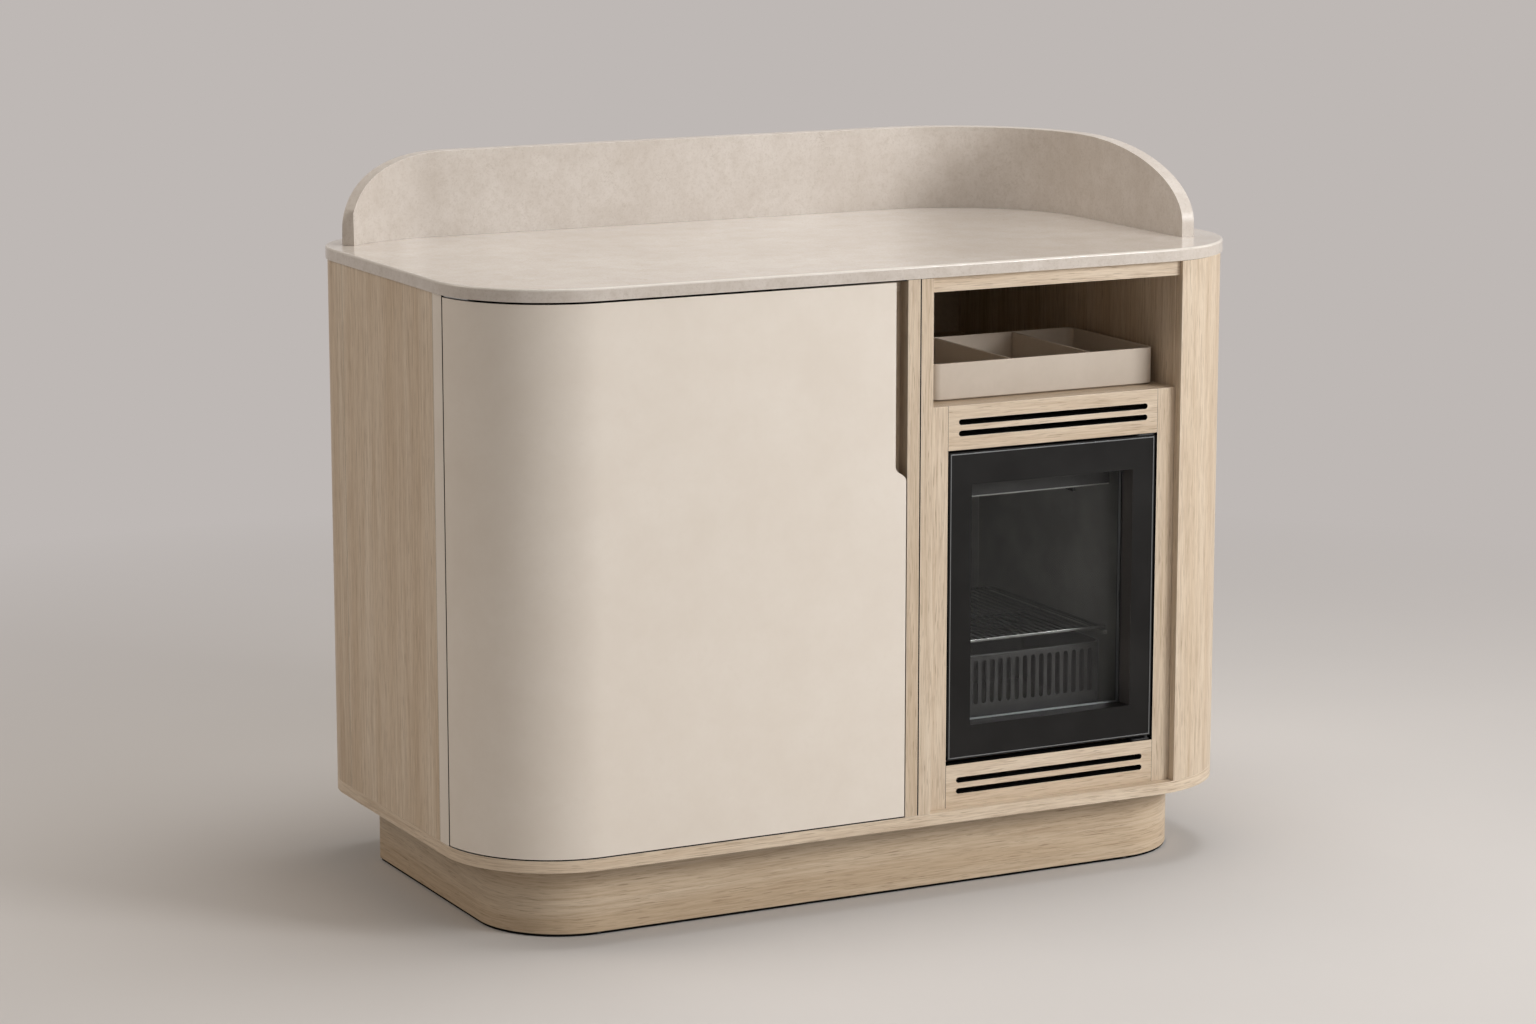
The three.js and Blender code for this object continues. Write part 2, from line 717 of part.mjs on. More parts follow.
const battenLeft = dividerLeft - battenWidth;
const topPlan = cupboardPlan(doorThickness + doorBackGap, fitGap, dividerLeft - fitGap);
const bracketPocketBottom = worktopBottom - pivotBracketThickness - fitGap;
addPart(cabinet, 'cupboard_top', 'oak', cut(
  plate(topPlan, topPanelBottom, worktopBottom),
  plate(leafPlan(bracketRadius, fitGap), bracketPocketBottom, worktopBottom + cutOver, smallArcSteps),
));
addPart(cabinet, 'door_stop_batten', 'oak',
  block(battenLeft, dividerLeft, behindDoor, behindDoor + battenThickness, baseTop, topPanelBottom));
addPart(cabinet, 'cupboard_shelf', 'oak', plate(
  cupboardPlan(cupboardShelfSetback, shelfSideGap, dividerLeft - shelfSideGap),
  cupboardShelfHeight, cupboardShelfHeight + panelThickness,
));
const cleatFront = front + cleatFrontSetback;
const cleatBottom = cupboardShelfHeight - cleatHeight;
const leftInner = left + panelThickness;
addPart(cabinet, 'shelf_cleat_left', 'oak', block(leftInner, leftInner + cleatThickness,
  cleatFront, cleatFront + cleatLength, cleatBottom, cupboardShelfHeight));
addPart(cabinet, 'shelf_cleat_right', 'oak', block(dividerLeft - cleatThickness, dividerLeft,
  cleatFront, cleatFront + cleatLength, cleatBottom, cupboardShelfHeight));

const catchRight = battenLeft - catchFromBatten;
const strikeBack = doorBack + strikeThickness;
const catchFront = strikeBack + catchGap;
const catchTop = topPanelBottom;
addPart(cabinet, 'magnetic_catch', 'blackPlastic', block(catchRight - catchWidth, catchRight,
  catchFront, catchFront + catchDepth, catchTop - catchHeight, catchTop));
addPart(cabinet, 'catch_strike', 'steel', panel(
  rectangle(catchRight - catchWidth, catchTop - catchHeight, catchRight, catchTop, strikeCornerRadius),
  doorBack, strikeBack,
));

// Fridge: a group whose origin is the middle of the casing's lower front edge
const fridgeSideGap = swingGap(fridgePivotInset);
const fridgeRailGap = hingeRunGap + hingePlateThickness + railRunGap;
const fridgeDoorBottom = openingBottom + fridgeRailGap;
const fridgeDoorTop = openingTop - fridgeRailGap;
const casingBottom = fridgeDoorBottom - hingeRunGap;
const casingHeight = fridgeDoorTop - fridgeDoorBottom + 2 * hingeRunGap;
const casingHalf = (openingRight - openingLeft) / 2 - fridgeSideGap;
const openingCentre = (openingLeft + openingRight) / 2;
const fridgeDoorFront = frameFront + fridgeDoorSetback;
const casingFront = fridgeDoorFront + fridgeDoorThickness + gasketThickness;
const fridge = addGroup(cabinet, openingCentre, casingFront, casingBottom);

// Nested shells, from the outside in: casing, insulation, liner
const insulationOut = casingWall + fitGap;
const linerOut = insulationOut + insulationThickness + fitGap;
const linerIn = linerOut + linerWall;

function shellBlock(inset, y0) {
  return block(-casingHalf + inset, casingHalf - inset, y0, fridgeDepth - inset, inset, casingHeight - inset);
}

addPart(cabinet, 'fridge_platform', 'board', block(bayLeft, bayRight, casingFront + hingePlateReach + fitGap,
  backFace - platformRearSpace, casingBottom - platformThickness, casingBottom));
addPart(fridge, 'fridge_casing', 'casing', cut(shellBlock(0, 0), shellBlock(casingWall, -cutOver)));
addPart(fridge, 'fridge_insulation', 'foam', cut(
  shellBlock(insulationOut, linerWall + fitGap),
  shellBlock(linerOut - fitGap, -cutOver),
));

const shelfZ = wireShelfHeight;
const innerHalf = casingHalf - linerIn;
const innerDepth = fridgeDepth - linerIn;
const innerTop = casingHeight - linerIn;
const shelfRodZ = shelfZ - shelfRodRadius;

function makeLiner() {
  const flange = block(-casingHalf + insulationOut, casingHalf - insulationOut, 0, linerWall,
    insulationOut, casingHeight - insulationOut);
  const ribTop = shelfRodZ - shelfRodRadius - fitGap;
  const rib = (side) => block(
    Math.min(side * (innerHalf - shelfRibWidth), side * (innerHalf + linerWall / 2)),
    Math.max(side * (innerHalf - shelfRibWidth), side * (innerHalf + linerWall / 2)),
    wireShelfSetback, wireShelfSetback + wireShelfDepth, ribTop - shelfRibHeight, ribTop,
  );
  const shell = cut(join(shellBlock(linerOut, 0), flange), shellBlock(linerIn, -cutOver));
  return join(shell, rib(-1), rib(1));
}

addPart(fridge, 'fridge_liner', 'liner', makeLiner());

// Wire shelf: a flat front bar, a frame of rods and wires that run from front to back
function makeWireShelf() {
  const half = innerHalf - shelfRodRadius - shelfSideGap;
  const frontY = wireShelfSetback;
  const rearY = wireShelfSetback + wireShelfDepth - shelfRodRadius;
  const pieces = [
    block(-half - shelfRodRadius, half + shelfRodRadius, frontY, frontY + shelfBarThickness,
      shelfZ + shelfBarRise - shelfBarHeight, shelfZ + shelfBarRise),
    rodAlongX(-half, half, rearY, shelfRodZ, shelfRodRadius, wireSides),
    rodAlongY(-half, frontY + glueLine, rearY, shelfRodZ, shelfRodRadius, wireSides),
    rodAlongY(half, frontY + glueLine, rearY, shelfRodZ, shelfRodRadius, wireSides),
  ];
  const pitch = 2 * half / (shelfWireCount + 1);
  for (let i = 1; i <= shelfWireCount; i += 1) {
    const x = -half + i * pitch;
    pieces.push(rodAlongY(x, frontY + glueLine, rearY, shelfZ - shelfWireRadius, shelfWireRadius, wireSides));
  }
  return join(...pieces);
}

addPart(fridge, 'wire_shelf', 'steel', makeWireShelf());

// Basket on the liner's floor, with slots in its front
function makeBasket() {
  const half = innerHalf - basketSideSpace;
  const y0 = basketSetback;
  const y1 = basketSetback + basketDepth;
  const z0 = linerIn + fitGap;
  const z1 = z0 + basketHeight;
  const inner = rectangle(-half + basketWall, y0 + basketWall, half - basketWall, y1 - basketWall,
    basketCornerRadius - basketWall);
  const slots = [];
  const usable = 2 * (half - basketCornerRadius);
  const pitch = usable / basketSlotCount;
  for (let i = 0; i < basketSlotCount; i += 1) {
    const x = -usable / 2 + (i + 0.5) * pitch;
    const slot = rectangle(x - basketSlotWidth / 2, z0 + basketSlotFoot, x + basketSlotWidth / 2,
      z1 - basketSlotTop, basketSlotWidth / 2);
    slots.push(panel(slot, y0 - cutOver, y0 + basketWall + cutOver, slotSteps));
  }
  return cut(
    plate(rectangle(-half, y0, half, y1, basketCornerRadius), z0, z1, smallArcSteps),
    plate(inner, z0 + basketWall, z1 + cutOver, smallArcSteps),
    ...slots,
  );
}

addPart(fridge, 'bottle_basket', 'basket', makeBasket());

// Lamp housing under the liner's ceiling, with the thermostat knob below it
const lampTop = innerTop - fitGap;
const lampBottom = lampTop - lampHousingHeight;
const lampBack = lampHousingSetback + lampHousingDepth;
const knobX = innerHalf - knobFromRight;
const knobY = lampHousingSetback + lampHousingDepth / 2;

function makeLampHousing() {
  const profile = new THREE.Shape();
  profile.moveTo(lampHousingSetback, lampTop);
  profile.lineTo(lampHousingSetback, lampBottom - lampLipDepth);
  profile.lineTo(lampHousingSetback + lampLipThickness, lampBottom - lampLipDepth);
  profile.lineTo(lampHousingSetback + lampLipThickness, lampBottom);
  profile.lineTo(lampBack, lampBottom);
  profile.lineTo(lampBack, lampTop);
  profile.closePath();
  const bossHoleTop = lampBottom + knobBossHeight + fitGap;
  return cut(
    bar(profile, -innerHalf + fitGap, innerHalf - fitGap),
    uprightRod(knobX, knobY, lampBottom - cutOver, bossHoleTop, knobBossRadius + runGap),
  );
}

function makeKnob() {
  const top = lampBottom - fitGap;
  const discBottom = top - knobHeight;
  const gripTop = discBottom + glueLine * 2;
  return join(
    uprightRod(knobX, knobY, discBottom, top, knobRadius),
    uprightRod(knobX, knobY, top - knobHeight / 2, top + knobBossHeight, knobBossRadius),
    block(knobX - knobGripWidth / 2, knobX + knobGripWidth / 2, knobY - knobRadius + knobGripWidth / 2,
      knobY + knobRadius - knobGripWidth / 2, discBottom - knobGripHeight, gripTop),
  );
}

addPart(fridge, 'lamp_housing', 'lamp', makeLampHousing());
addPart(fridge, 'thermostat_knob', 'blackPlastic', makeKnob());

// Finned evaporator on the liner's back wall
function makeEvaporator() {
  const y1 = innerDepth - fitGap;
  const y0 = y1 - evaporatorBase;
  const half = evaporatorWidth / 2;
  const pitch = (evaporatorWidth - evaporatorFinThickness) / (evaporatorFinCount - 1);
  const comb = new THREE.Shape();
  comb.moveTo(half, y1);
  comb.lineTo(-half, y1);
  for (let i = 0; i < evaporatorFinCount; i += 1) {
    const x = -half + i * pitch;
    comb.lineTo(x, y0 - evaporatorFinDepth);
    comb.lineTo(x + evaporatorFinThickness, y0 - evaporatorFinDepth);
    if (i < evaporatorFinCount - 1) {
      comb.lineTo(x + evaporatorFinThickness, y0);
      comb.lineTo(x + pitch, y0);
    }
  }
  comb.closePath();
  return plate(comb, evaporatorTop - evaporatorHeight, evaporatorTop);
}

addPart(fridge, 'evaporator_plate', 'aluminium', makeEvaporator());

// Cooling unit: a domed tank and a condenser coil that lies against the casing's back
function makeTank() {
  const straight = tankLength / 2 - tankDome;
  const profile = [new THREE.Vector2(0, -tankLength / 2)];
  for (let i = 1; i <= smallArcSteps; i += 1) {
    const turn = i / smallArcSteps * Math.PI / 2;
    profile.push(new THREE.Vector2(tankRadius * Math.sin(turn), -straight - tankDome * Math.cos(turn)));
  }
  const upper = profile.slice().reverse().map((point) => new THREE.Vector2(point.x, -point.y));
  return new THREE.LatheGeometry([...profile, ...upper], roundSides).rotateZ(Math.PI / 2)
    .translate(0, fridgeDepth + tankRadius + fitGap, tankHeight);
}

function makeCoil() {
  const flatDistance = coilRadius * Math.cos(Math.PI / wireSides);
  const y = fridgeDepth + flatDistance + fitGap;
  const bend = coilPitch / 2;
  const half = coilWidth / 2 - bend;
  const handle = bend * 4 / 3 * Math.tan(Math.PI / 8);
  const route = new THREE.CurvePath();
  const point = (x, z) => new THREE.Vector3(x, y, z);
  for (let i = 0; i < coilRuns; i += 1) {
    const side = i % 2 === 0 ? 1 : -1;
    const z = coilBottom + i * coilPitch;
    route.add(new THREE.LineCurve3(point(-side * half, z), point(side * half, z)));
    if (i < coilRuns - 1) {
      const tip = side * (half + bend);
      const inner = side * (half + handle);
      route.add(new THREE.CubicBezierCurve3(point(side * half, z), point(inner, z),
        point(tip, z + bend - handle), point(tip, z + bend)));
      route.add(new THREE.CubicBezierCurve3(point(tip, z + bend), point(tip, z + bend + handle),
        point(inner, z + coilPitch), point(side * half, z + coilPitch)));
    }
  }
  const section = new THREE.Shape();
  section.absarc(0, 0, coilRadius, 0, Math.PI * 2, false);
  return new THREE.ExtrudeGeometry(section, {
    steps: coilRuns * coilStepsPerRun,
    extrudePath: route,
    curveSegments: wireSides / 2,
    bevelEnabled: false,
  });
}

addPart(fridge, 'absorber_tank', 'blackPlastic', makeTank());
addPart(fridge, 'condenser_coil', 'blackPlastic', makeCoil());

// Fridge door: frame, trim, double glazing, gasket and hinge plates, in the fridge's own frame
const doorBackY = -gasketThickness;
const doorFrontY = doorBackY - fridgeDoorThickness;
const doorLow = hingeRunGap + fridgeDoorFootSpace;
const doorHigh = casingHeight - hingeRunGap;
const glassHalf = casingHalf - doorFrameSide;
const glassLow = doorLow + doorFrameBottom;
const glassHigh = doorHigh - doorFrameTop;
const rebateY = doorFrontY + glassRecess;
const hingeX = casingHalf - fridgePivotInset;
const hingeY = doorFrontY + fridgePivotInset;

function makeDoorFrame() {
  const bore = fridgePinRadius + runGap;
  return cut(
    block(-casingHalf, casingHalf, doorFrontY, doorBackY, doorLow, doorHigh),
    block(-glassHalf, glassHalf, doorFrontY - cutOver, doorBackY + cutOver, glassLow, glassHigh),
    block(-glassHalf - glassRebate, glassHalf + glassRebate, rebateY, doorBackY + cutOver,
      glassLow - glassRebate, glassHigh + glassRebate),
    uprightRod(hingeX, hingeY, doorLow - cutOver, doorLow + hingePinLength + runGap, bore),
    uprightRod(hingeX, hingeY, doorHigh - hingePinLength - runGap, doorHigh + cutOver, bore),
  );
}

function ring(half, low, high, width, radius, y0, y1) {
  const shape = rectangle(-half, low, half, high, radius);
  const innerRadius = Math.max(0, radius - width);
  shape.holes.push(rectangleHole(-half + width, low + width, half - width, high - width, innerRadius));
  return panel(shape, y0, y1);
}

function makePane(y0) {
  const half = glassHalf + glassRebate - fitGap;
  const low = glassLow - glassRebate + fitGap;
  const high = glassHigh + glassRebate - fitGap;
  return block(-half, half, y0, y0 + paneThickness, low, high);
}

addPart(fridge, 'fridge_door_frame', 'blackFrame', makeDoorFrame());
addPart(fridge, 'fridge_door_trim', 'trim', ring(
  casingHalf - trimInset, doorLow + trimInset, doorHigh - trimInset,
  trimWidth, 0, doorFrontY - trimThickness, doorFrontY,
));
addPart(fridge, 'glass_outer', 'glass', makePane(rebateY));
addPart(fridge, 'glass_inner', 'glass', makePane(doorBackY - paneThickness));
addPart(fridge, 'glass_spacer', 'aluminium', ring(
  glassHalf + glassRebate - fitGap, glassLow - glassRebate + fitGap, glassHigh + glassRebate - fitGap,
  spacerWidth, 0, rebateY + paneThickness, doorBackY - paneThickness,
));
addPart(fridge, 'door_gasket', 'rubber', ring(
  casingHalf - gasketInset, doorLow + gasketInset, doorHigh - gasketInset,
  gasketWidth, gasketCornerRadius, doorBackY, -fitGap,
));

function makeHingePlate(z0, pinLow, pinHigh) {
  const edge = fridgePivotInset - fitGap;
  const plateRight = hingeX + edge;
  const plan = rectangle(plateRight - hingePlateWidth, hingeY - edge, plateRight, hingePlateReach, edge);
  return join(
    plate(plan, z0, z0 + hingePlateThickness, smallArcSteps),
    uprightRod(hingeX, hingeY, pinLow, pinHigh, fridgePinRadius),
  );
}

const plateMiddle = hingePlateThickness / 2;
addPart(fridge, 'fridge_hinge_lower', 'steel',
  makeHingePlate(-hingePlateThickness, -plateMiddle, doorLow + hingePinLength));
addPart(fridge, 'fridge_hinge_upper', 'steel',
  makeHingePlate(casingHeight, doorHigh - hingePinLength, casingHeight + plateMiddle));

// Tray in the niche: a group whose origin is the middle of its underside
const trayX = bayRight - traySideSpace - trayWidth / 2;
const trayY = front + traySetback + trayDepth / 2;
const tray = addGroup(cabinet, trayX, trayY, nicheFloorHeight + fitGap);

const trayFloorTop = trayFootHeight + trayFloor;

function trayPlate(inset, radius, z0, z1) {
  const halfX = trayWidth / 2 - inset;
  const halfY = trayDepth / 2 - inset;
  return plate(rectangle(-halfX, -halfY, halfX, halfY, radius), z0, z1, smallArcSteps);
}

function makeTray() {
  return cut(
    join(
      trayPlate(0, trayCornerRadius, trayFootHeight, trayHeight),
      trayPlate(trayFootInset, trayCornerRadius, 0, trayFloorTop),
    ),
    trayPlate(trayWall, trayCornerRadius - trayWall, trayFloorTop, trayHeight + cutOver),
  );
}

function makeTrayDivider(x0) {
  const halfY = trayDepth / 2 - trayWall - fitGap;
  const top = trayHeight - trayDividerDrop;
  return block(x0, x0 + trayDividerThickness, -halfY, halfY, trayFloorTop, top);
}

const trayRightDivider = trayWidth / 2 - trayWall - trayRightWidth - trayDividerThickness;
const trayLeftDivider = trayRightDivider - trayMiddleWidth - trayDividerThickness;
addPart(tray, 'tray', 'tray', makeTray());
addPart(tray, 'tray_divider_left', 'tray', makeTrayDivider(trayLeftDivider));
addPart(tray, 'tray_divider_right', 'tray', makeTrayDivider(trayRightDivider));

export default cabinet;
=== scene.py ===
# Hotel minibar cabinet: camera, stage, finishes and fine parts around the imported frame. Metres.
import json
import math
import bmesh
import bpy
from mathutils import Matrix, Vector

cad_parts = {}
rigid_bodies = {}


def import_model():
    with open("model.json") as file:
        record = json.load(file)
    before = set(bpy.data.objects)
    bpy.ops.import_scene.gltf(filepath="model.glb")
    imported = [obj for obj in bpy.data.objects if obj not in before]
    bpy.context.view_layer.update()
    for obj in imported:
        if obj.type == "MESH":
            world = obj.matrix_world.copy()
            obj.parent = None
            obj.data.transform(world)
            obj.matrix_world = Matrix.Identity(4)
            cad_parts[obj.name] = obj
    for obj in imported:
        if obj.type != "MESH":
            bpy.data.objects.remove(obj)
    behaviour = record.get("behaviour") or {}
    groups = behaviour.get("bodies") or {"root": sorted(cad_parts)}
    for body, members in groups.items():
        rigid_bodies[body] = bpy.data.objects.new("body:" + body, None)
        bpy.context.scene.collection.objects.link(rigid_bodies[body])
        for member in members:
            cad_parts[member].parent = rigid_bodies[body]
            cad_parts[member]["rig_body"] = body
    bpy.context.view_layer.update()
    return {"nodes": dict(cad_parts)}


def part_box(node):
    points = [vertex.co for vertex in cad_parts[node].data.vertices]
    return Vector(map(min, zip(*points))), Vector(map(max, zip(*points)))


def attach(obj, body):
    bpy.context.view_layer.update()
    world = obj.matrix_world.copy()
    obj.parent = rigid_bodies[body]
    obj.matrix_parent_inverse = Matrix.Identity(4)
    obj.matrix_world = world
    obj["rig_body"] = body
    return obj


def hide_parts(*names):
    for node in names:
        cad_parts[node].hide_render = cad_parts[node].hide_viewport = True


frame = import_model()
mm = 0.001


# Camera at the photograph's standpoint, for a 1536 x 1024 picture
cameraSettings = {
    "place": (-2.740, -5.310, 1.648),
    "turnRight": 27.087,  # degrees away from a straight look at the front
    "tiltDown": 10.803,
    "lens": 98.1,
    "sensorWidth": 36.0,
}


def makeCamera(settings):
    lens = bpy.data.cameras.new("photoCamera")
    lens.lens = settings["lens"]
    lens.sensor_width = settings["sensorWidth"]
    camera = bpy.data.objects.new("photoCamera", lens)
    camera.location = settings["place"]
    tilt = math.radians(90 - settings["tiltDown"])
    camera.rotation_euler = (tilt, 0, -math.radians(settings["turnRight"]))
    bpy.context.scene.collection.objects.link(camera)
    bpy.context.scene.camera = camera


makeCamera(cameraSettings)
bpy.context.scene.view_settings.view_transform = "Standard"


# Colours are given as screen levels from 0 to 255
def screenColour(red, green, blue):
    linear = []
    for level in (red, green, blue):
        share = level / 255
        linear.append(share / 12.92 if share <= 0.04045 else ((share + 0.055) / 1.055) ** 2.4)
    return (*linear, 1.0)


def scaledColour(colour, factor, lift=0.0):
    return (*(min(1.0, part * factor + lift) for part in colour[:3]), 1.0)


def tinted(colour, tone):
    return (*(part * share for part, share in zip(colour, tone)), 1.0)


# Small tools for finishes
def newFinish(name):
    finish = bpy.data.materials.new(name)
    finish.use_nodes = True
    tree = finish.node_tree
    return finish, tree, tree.nodes["Principled BSDF"]


def setSockets(tree, node, sockets):
    for key, value in sockets.items():
        if isinstance(value, bpy.types.NodeSocket):
            tree.links.new(value, node.inputs[key])
        else:
            node.inputs[key].default_value = value


def addNode(tree, kind, sockets, **settings):
    made = tree.nodes.new("ShaderNode" + kind)
    for key, value in settings.items():
        setattr(made, key, value)
    setSockets(tree, made, sockets)
    return made


def sums(tree, operation, first, second):
    return addNode(tree, "Math", {0: first, 1: second}, operation=operation).outputs["Value"]


def placeSums(tree, operation, first, second):
    return addNode(tree, "VectorMath", {0: first, 1: second}, operation=operation).outputs["Vector"]


# A number that the piece's own mesh carries
def pieceNumber(tree, name):
    return addNode(tree, "Attribute", {}, attribute_name=name).outputs["Fac"]


# Where a pattern is read: the piece's place, moved on by the piece's own shift
def patternPlace(tree, follows=None):
    if follows:
        place = addNode(tree, "Attribute", {}, attribute_name=follows).outputs["Vector"]
    else:
        place = addNode(tree, "TexCoord", {}).outputs["Object"]
    return placeSums(tree, "ADD", place, pieceNumber(tree, "boardShift"))


def noise(tree, place, scale, detail=3.0, roughness=0.55, distortion=0.0):
    sockets = {"Vector": place, "Scale": scale, "Detail": detail, "Roughness": roughness,
               "Distortion": distortion}
    return addNode(tree, "TexNoise", sockets).outputs["Fac"]


# Restates the range from low to high as first to last, and stops at its ends
def restate(tree, value, low, high, first=0.0, last=1.0):
    sockets = {"Value": value, "From Min": low, "From Max": high, "To Min": first, "To Max": last}
    return addNode(tree, "MapRange", sockets).outputs["Result"]


def between(tree, share, first, last):
    return restate(tree, share, 0.0, 1.0, first, last)


# A pattern's settings: what noise takes after the place, and the range of the result that counts
def pattern(tree, place, settings):
    return restate(tree, noise(tree, place, *settings["noise"]), *settings["range"])


# Puts a mix of two shaders on the surface
def showBoth(tree, share, first, second, output="Material Output"):
    both = addNode(tree, "MixShader", {0: share, 1: first.outputs[0], 2: second.outputs[0]})
    tree.links.new(both.outputs["Shader"], tree.nodes[output].inputs["Surface"])


def setLook(tree, shader, colour, roughness, specular):
    setSockets(tree, shader, {"Base Color": colour, "Roughness": roughness, "Specular IOR Level": specular})


def mixColour(tree, share, first, second):
    return addNode(tree, "Mix", {0: share, 6: first, 7: second}, data_type="RGBA").outputs[2]


def overlay(tree, ground, cover, share, colour):
    return mixColour(tree, sums(tree, "MULTIPLY", cover, share), ground, colour)


# Eased edges are painted paler: a painted highlight along the bevels, where lamps would catch them
def paintEdgeHighlight(tree, colour, pale, share):
    return overlay(tree, colour, pieceNumber(tree, "edgeHighlightMark"), share, pale)


def addRelief(tree, shader, height, strength, depth):
    bump = addNode(tree, "Bump", {"Height": height, "Strength": strength, "Distance": depth})
    tree.links.new(bump.outputs["Normal"], shader.inputs["Normal"])


# Oak veneer: quiet bands, streaks, fine dark hairs and short pores along the grain
oakSettings = {
    "colours": {
        "pale": screenColour(219, 203, 182),
        "honey": screenColour(206, 186, 161),
        "streaks": screenColour(174, 149, 121),
        "hairs": screenColour(156, 130, 103),
        "pores": screenColour(124, 100, 75),
        # painted highlight on the eased edges
        "highlitEdges": screenColour(233, 219, 201),
    },
    "bands": {"noise": (22, 2.0), "range": (0.36, 0.64)},
    "streaks": {"noise": (170, 5.0, 0.66), "range": (0.44, 0.72), "share": 0.55},
    "hairs": {"noise": (560, 3.0, 0.6), "range": (0.46, 0.72), "share": 0.42},
    "pores": {"noise": (900, 1.0), "range": (0.62, 0.69), "share": 0.45},
    "alongGrain": 0.035,  # the pattern's scale along the grain, as a share of that across it
    "wanderScale": 1.7,
    "wander": 0.014,
    "boardTones": (0.965, 1.03),  # from the darkest board to the lightest
    "roughness": (0.46, 0.6),
    "specular": 0.4,
    "highlightShare": 0.55,
    "hairRelief": 0.4,
    "relief": (0.25, 0.0002),  # strength and depth
}
# The plinth's oak is painted darker and warmer: painted shade under the base board's overhang
plinthShadeTone = (0.97, 0.94, 0.89)


def oakFinish(name, grain, follows=None, tone=(1.0, 1.0, 1.0)):
    settings = oakSettings
    colours = {key: tinted(colour, tone) for key, colour in settings["colours"].items()}
    finish, tree, shader = newFinish(name)
    place = patternPlace(tree, follows)
    drift = addNode(tree, "TexNoise", {"Vector": place, "Scale": settings["wanderScale"], "Detail": 1.0})
    centred = placeSums(tree, "SUBTRACT", drift.outputs["Color"], (0.5, 0.5, 0.5))
    bent = placeSums(tree, "MULTIPLY", centred, [settings["wander"]] * 3)
    scale = [settings["alongGrain"] if axis == grain else 1.0 for axis in "XYZ"]
    fibres = placeSums(tree, "MULTIPLY", placeSums(tree, "ADD", place, bent), scale)
    bands = pattern(tree, fibres, settings["bands"])
    colour = mixColour(tree, bands, colours["pale"], colours["honey"])
    covers = {}
    for layer in ("streaks", "hairs", "pores"):
        covers[layer] = pattern(tree, fibres, settings[layer])
        colour = overlay(tree, colour, covers[layer], settings[layer]["share"], colours[layer])
    shift = pieceNumber(tree, "boardShift")
    lot = addNode(tree, "TexWhiteNoise", {"W": shift}, noise_dimensions="1D").outputs["Value"]
    toned = addNode(tree, "HueSaturation", {
        "Value": between(tree, lot, *settings["boardTones"]), "Color": colour}).outputs["Color"]
    highlitEdges = paintEdgeHighlight(tree, toned, colours["highlitEdges"], settings["highlightShare"])
    roughness = between(tree, covers["streaks"], *settings["roughness"])
    setLook(tree, shader, highlitEdges, roughness, settings["specular"])
    raised = sums(tree, "MULTIPLY", covers["hairs"], settings["hairRelief"])
    addRelief(tree, shader, sums(tree, "SUBTRACT", raised, covers["pores"]), *settings["relief"])
    return finish


# Composite stone: clouds in two sizes, fine mottling and crumbs, sparse short dark threads, fine grains
stoneSettings = {
    "pale": screenColour(214, 206, 198),
    "mid": screenColour(205, 196, 187),
    "spot": screenColour(177, 164, 150),
    "mark": screenColour(141, 125, 108),
    # painted highlight on the eased edges
    "highlitEdges": screenColour(226, 219, 210),
    "cloud": {"noise": (5.0, 4.0, 0.6), "range": (0.36, 0.66)},
    "drift": {"noise": (24, 5.0, 0.65), "range": (0.4, 0.7), "share": 0.24},
    "mottle": {"noise": (95, 6.0, 0.7), "range": (0.46, 0.82), "share": 0.45},
    "crumb": {"noise": (290, 4.0, 0.65), "range": (0.5, 0.74), "share": 0.44},
    "threads": {"noise": (60, 4.0, 0.6, 1.2), "halfWidth": 0.014, "share": 0.4},
    "threadPatches": {"noise": (26, 2.0), "range": (0.6, 0.68)},
    "grains": (900, 2.0),
    "roughness": {"polishedStone": (0.13, 0.19), "honedStone": (0.36, 0.44)},  # between mottles and on them
    "specular": 0.5,
    "highlightShare": 0.5,
    "relief": (0.02, 0.0002),
}


def stoneFinish(name):
    settings = stoneSettings
    finish, tree, shader = newFinish(name)
    place = patternPlace(tree)
    cloud = pattern(tree, place, settings["cloud"])
    colour = mixColour(tree, cloud, settings["pale"], settings["mid"])
    covers = {}
    for layer in ("drift", "mottle", "crumb"):
        covers[layer] = pattern(tree, place, settings[layer])
        colour = overlay(tree, colour, covers[layer], settings[layer]["share"], settings["spot"])
    threads = settings["threads"]
    wave = sums(tree, "SUBTRACT", noise(tree, place, *threads["noise"]), 0.5)
    ridge = sums(tree, "ABSOLUTE", wave, 0.0)
    thread = restate(tree, ridge, 0.0, threads["halfWidth"], 1.0, 0.0)
    marks = sums(tree, "MULTIPLY", thread, pattern(tree, place, settings["threadPatches"]))
    colour = overlay(tree, colour, marks, threads["share"], settings["mark"])
    highlitEdges = paintEdgeHighlight(tree, colour, settings["highlitEdges"], settings["highlightShare"])
    roughness = between(tree, covers["mottle"], *settings["roughness"][name])
    setLook(tree, shader, highlitEdges, roughness, settings["specular"])
    addRelief(tree, shader, noise(tree, place, *settings["grains"]), *settings["relief"])
    return finish


# Sprayed lacquers: a faint cloud and flecks in the colour, and a fine orange peel
lacquerSettings = {
    "colours": {
        "doorLacquer": (screenColour(230, 221, 210), screenColour(225, 215, 203)),
        "trayLacquer": (screenColour(203, 191, 178), screenColour(194, 182, 168)),
    },
    "cloud": {"noise": (11, 6.0, 0.65), "range": (0.32, 0.7)},
    "flecks": {"noise": (90, 5.0, 0.65), "range": (0.5, 0.78), "share": 0.5},
    "peel": (640, 2.0),
    "roughness": (0.46, 0.55),
    "specular": 0.4,
    # painted highlight on the eased edges
    "highlitEdges": 1.12,  # times the pale colour
    "highlightShare": 0.6,
    "relief": (0.06, 0.0002),
}


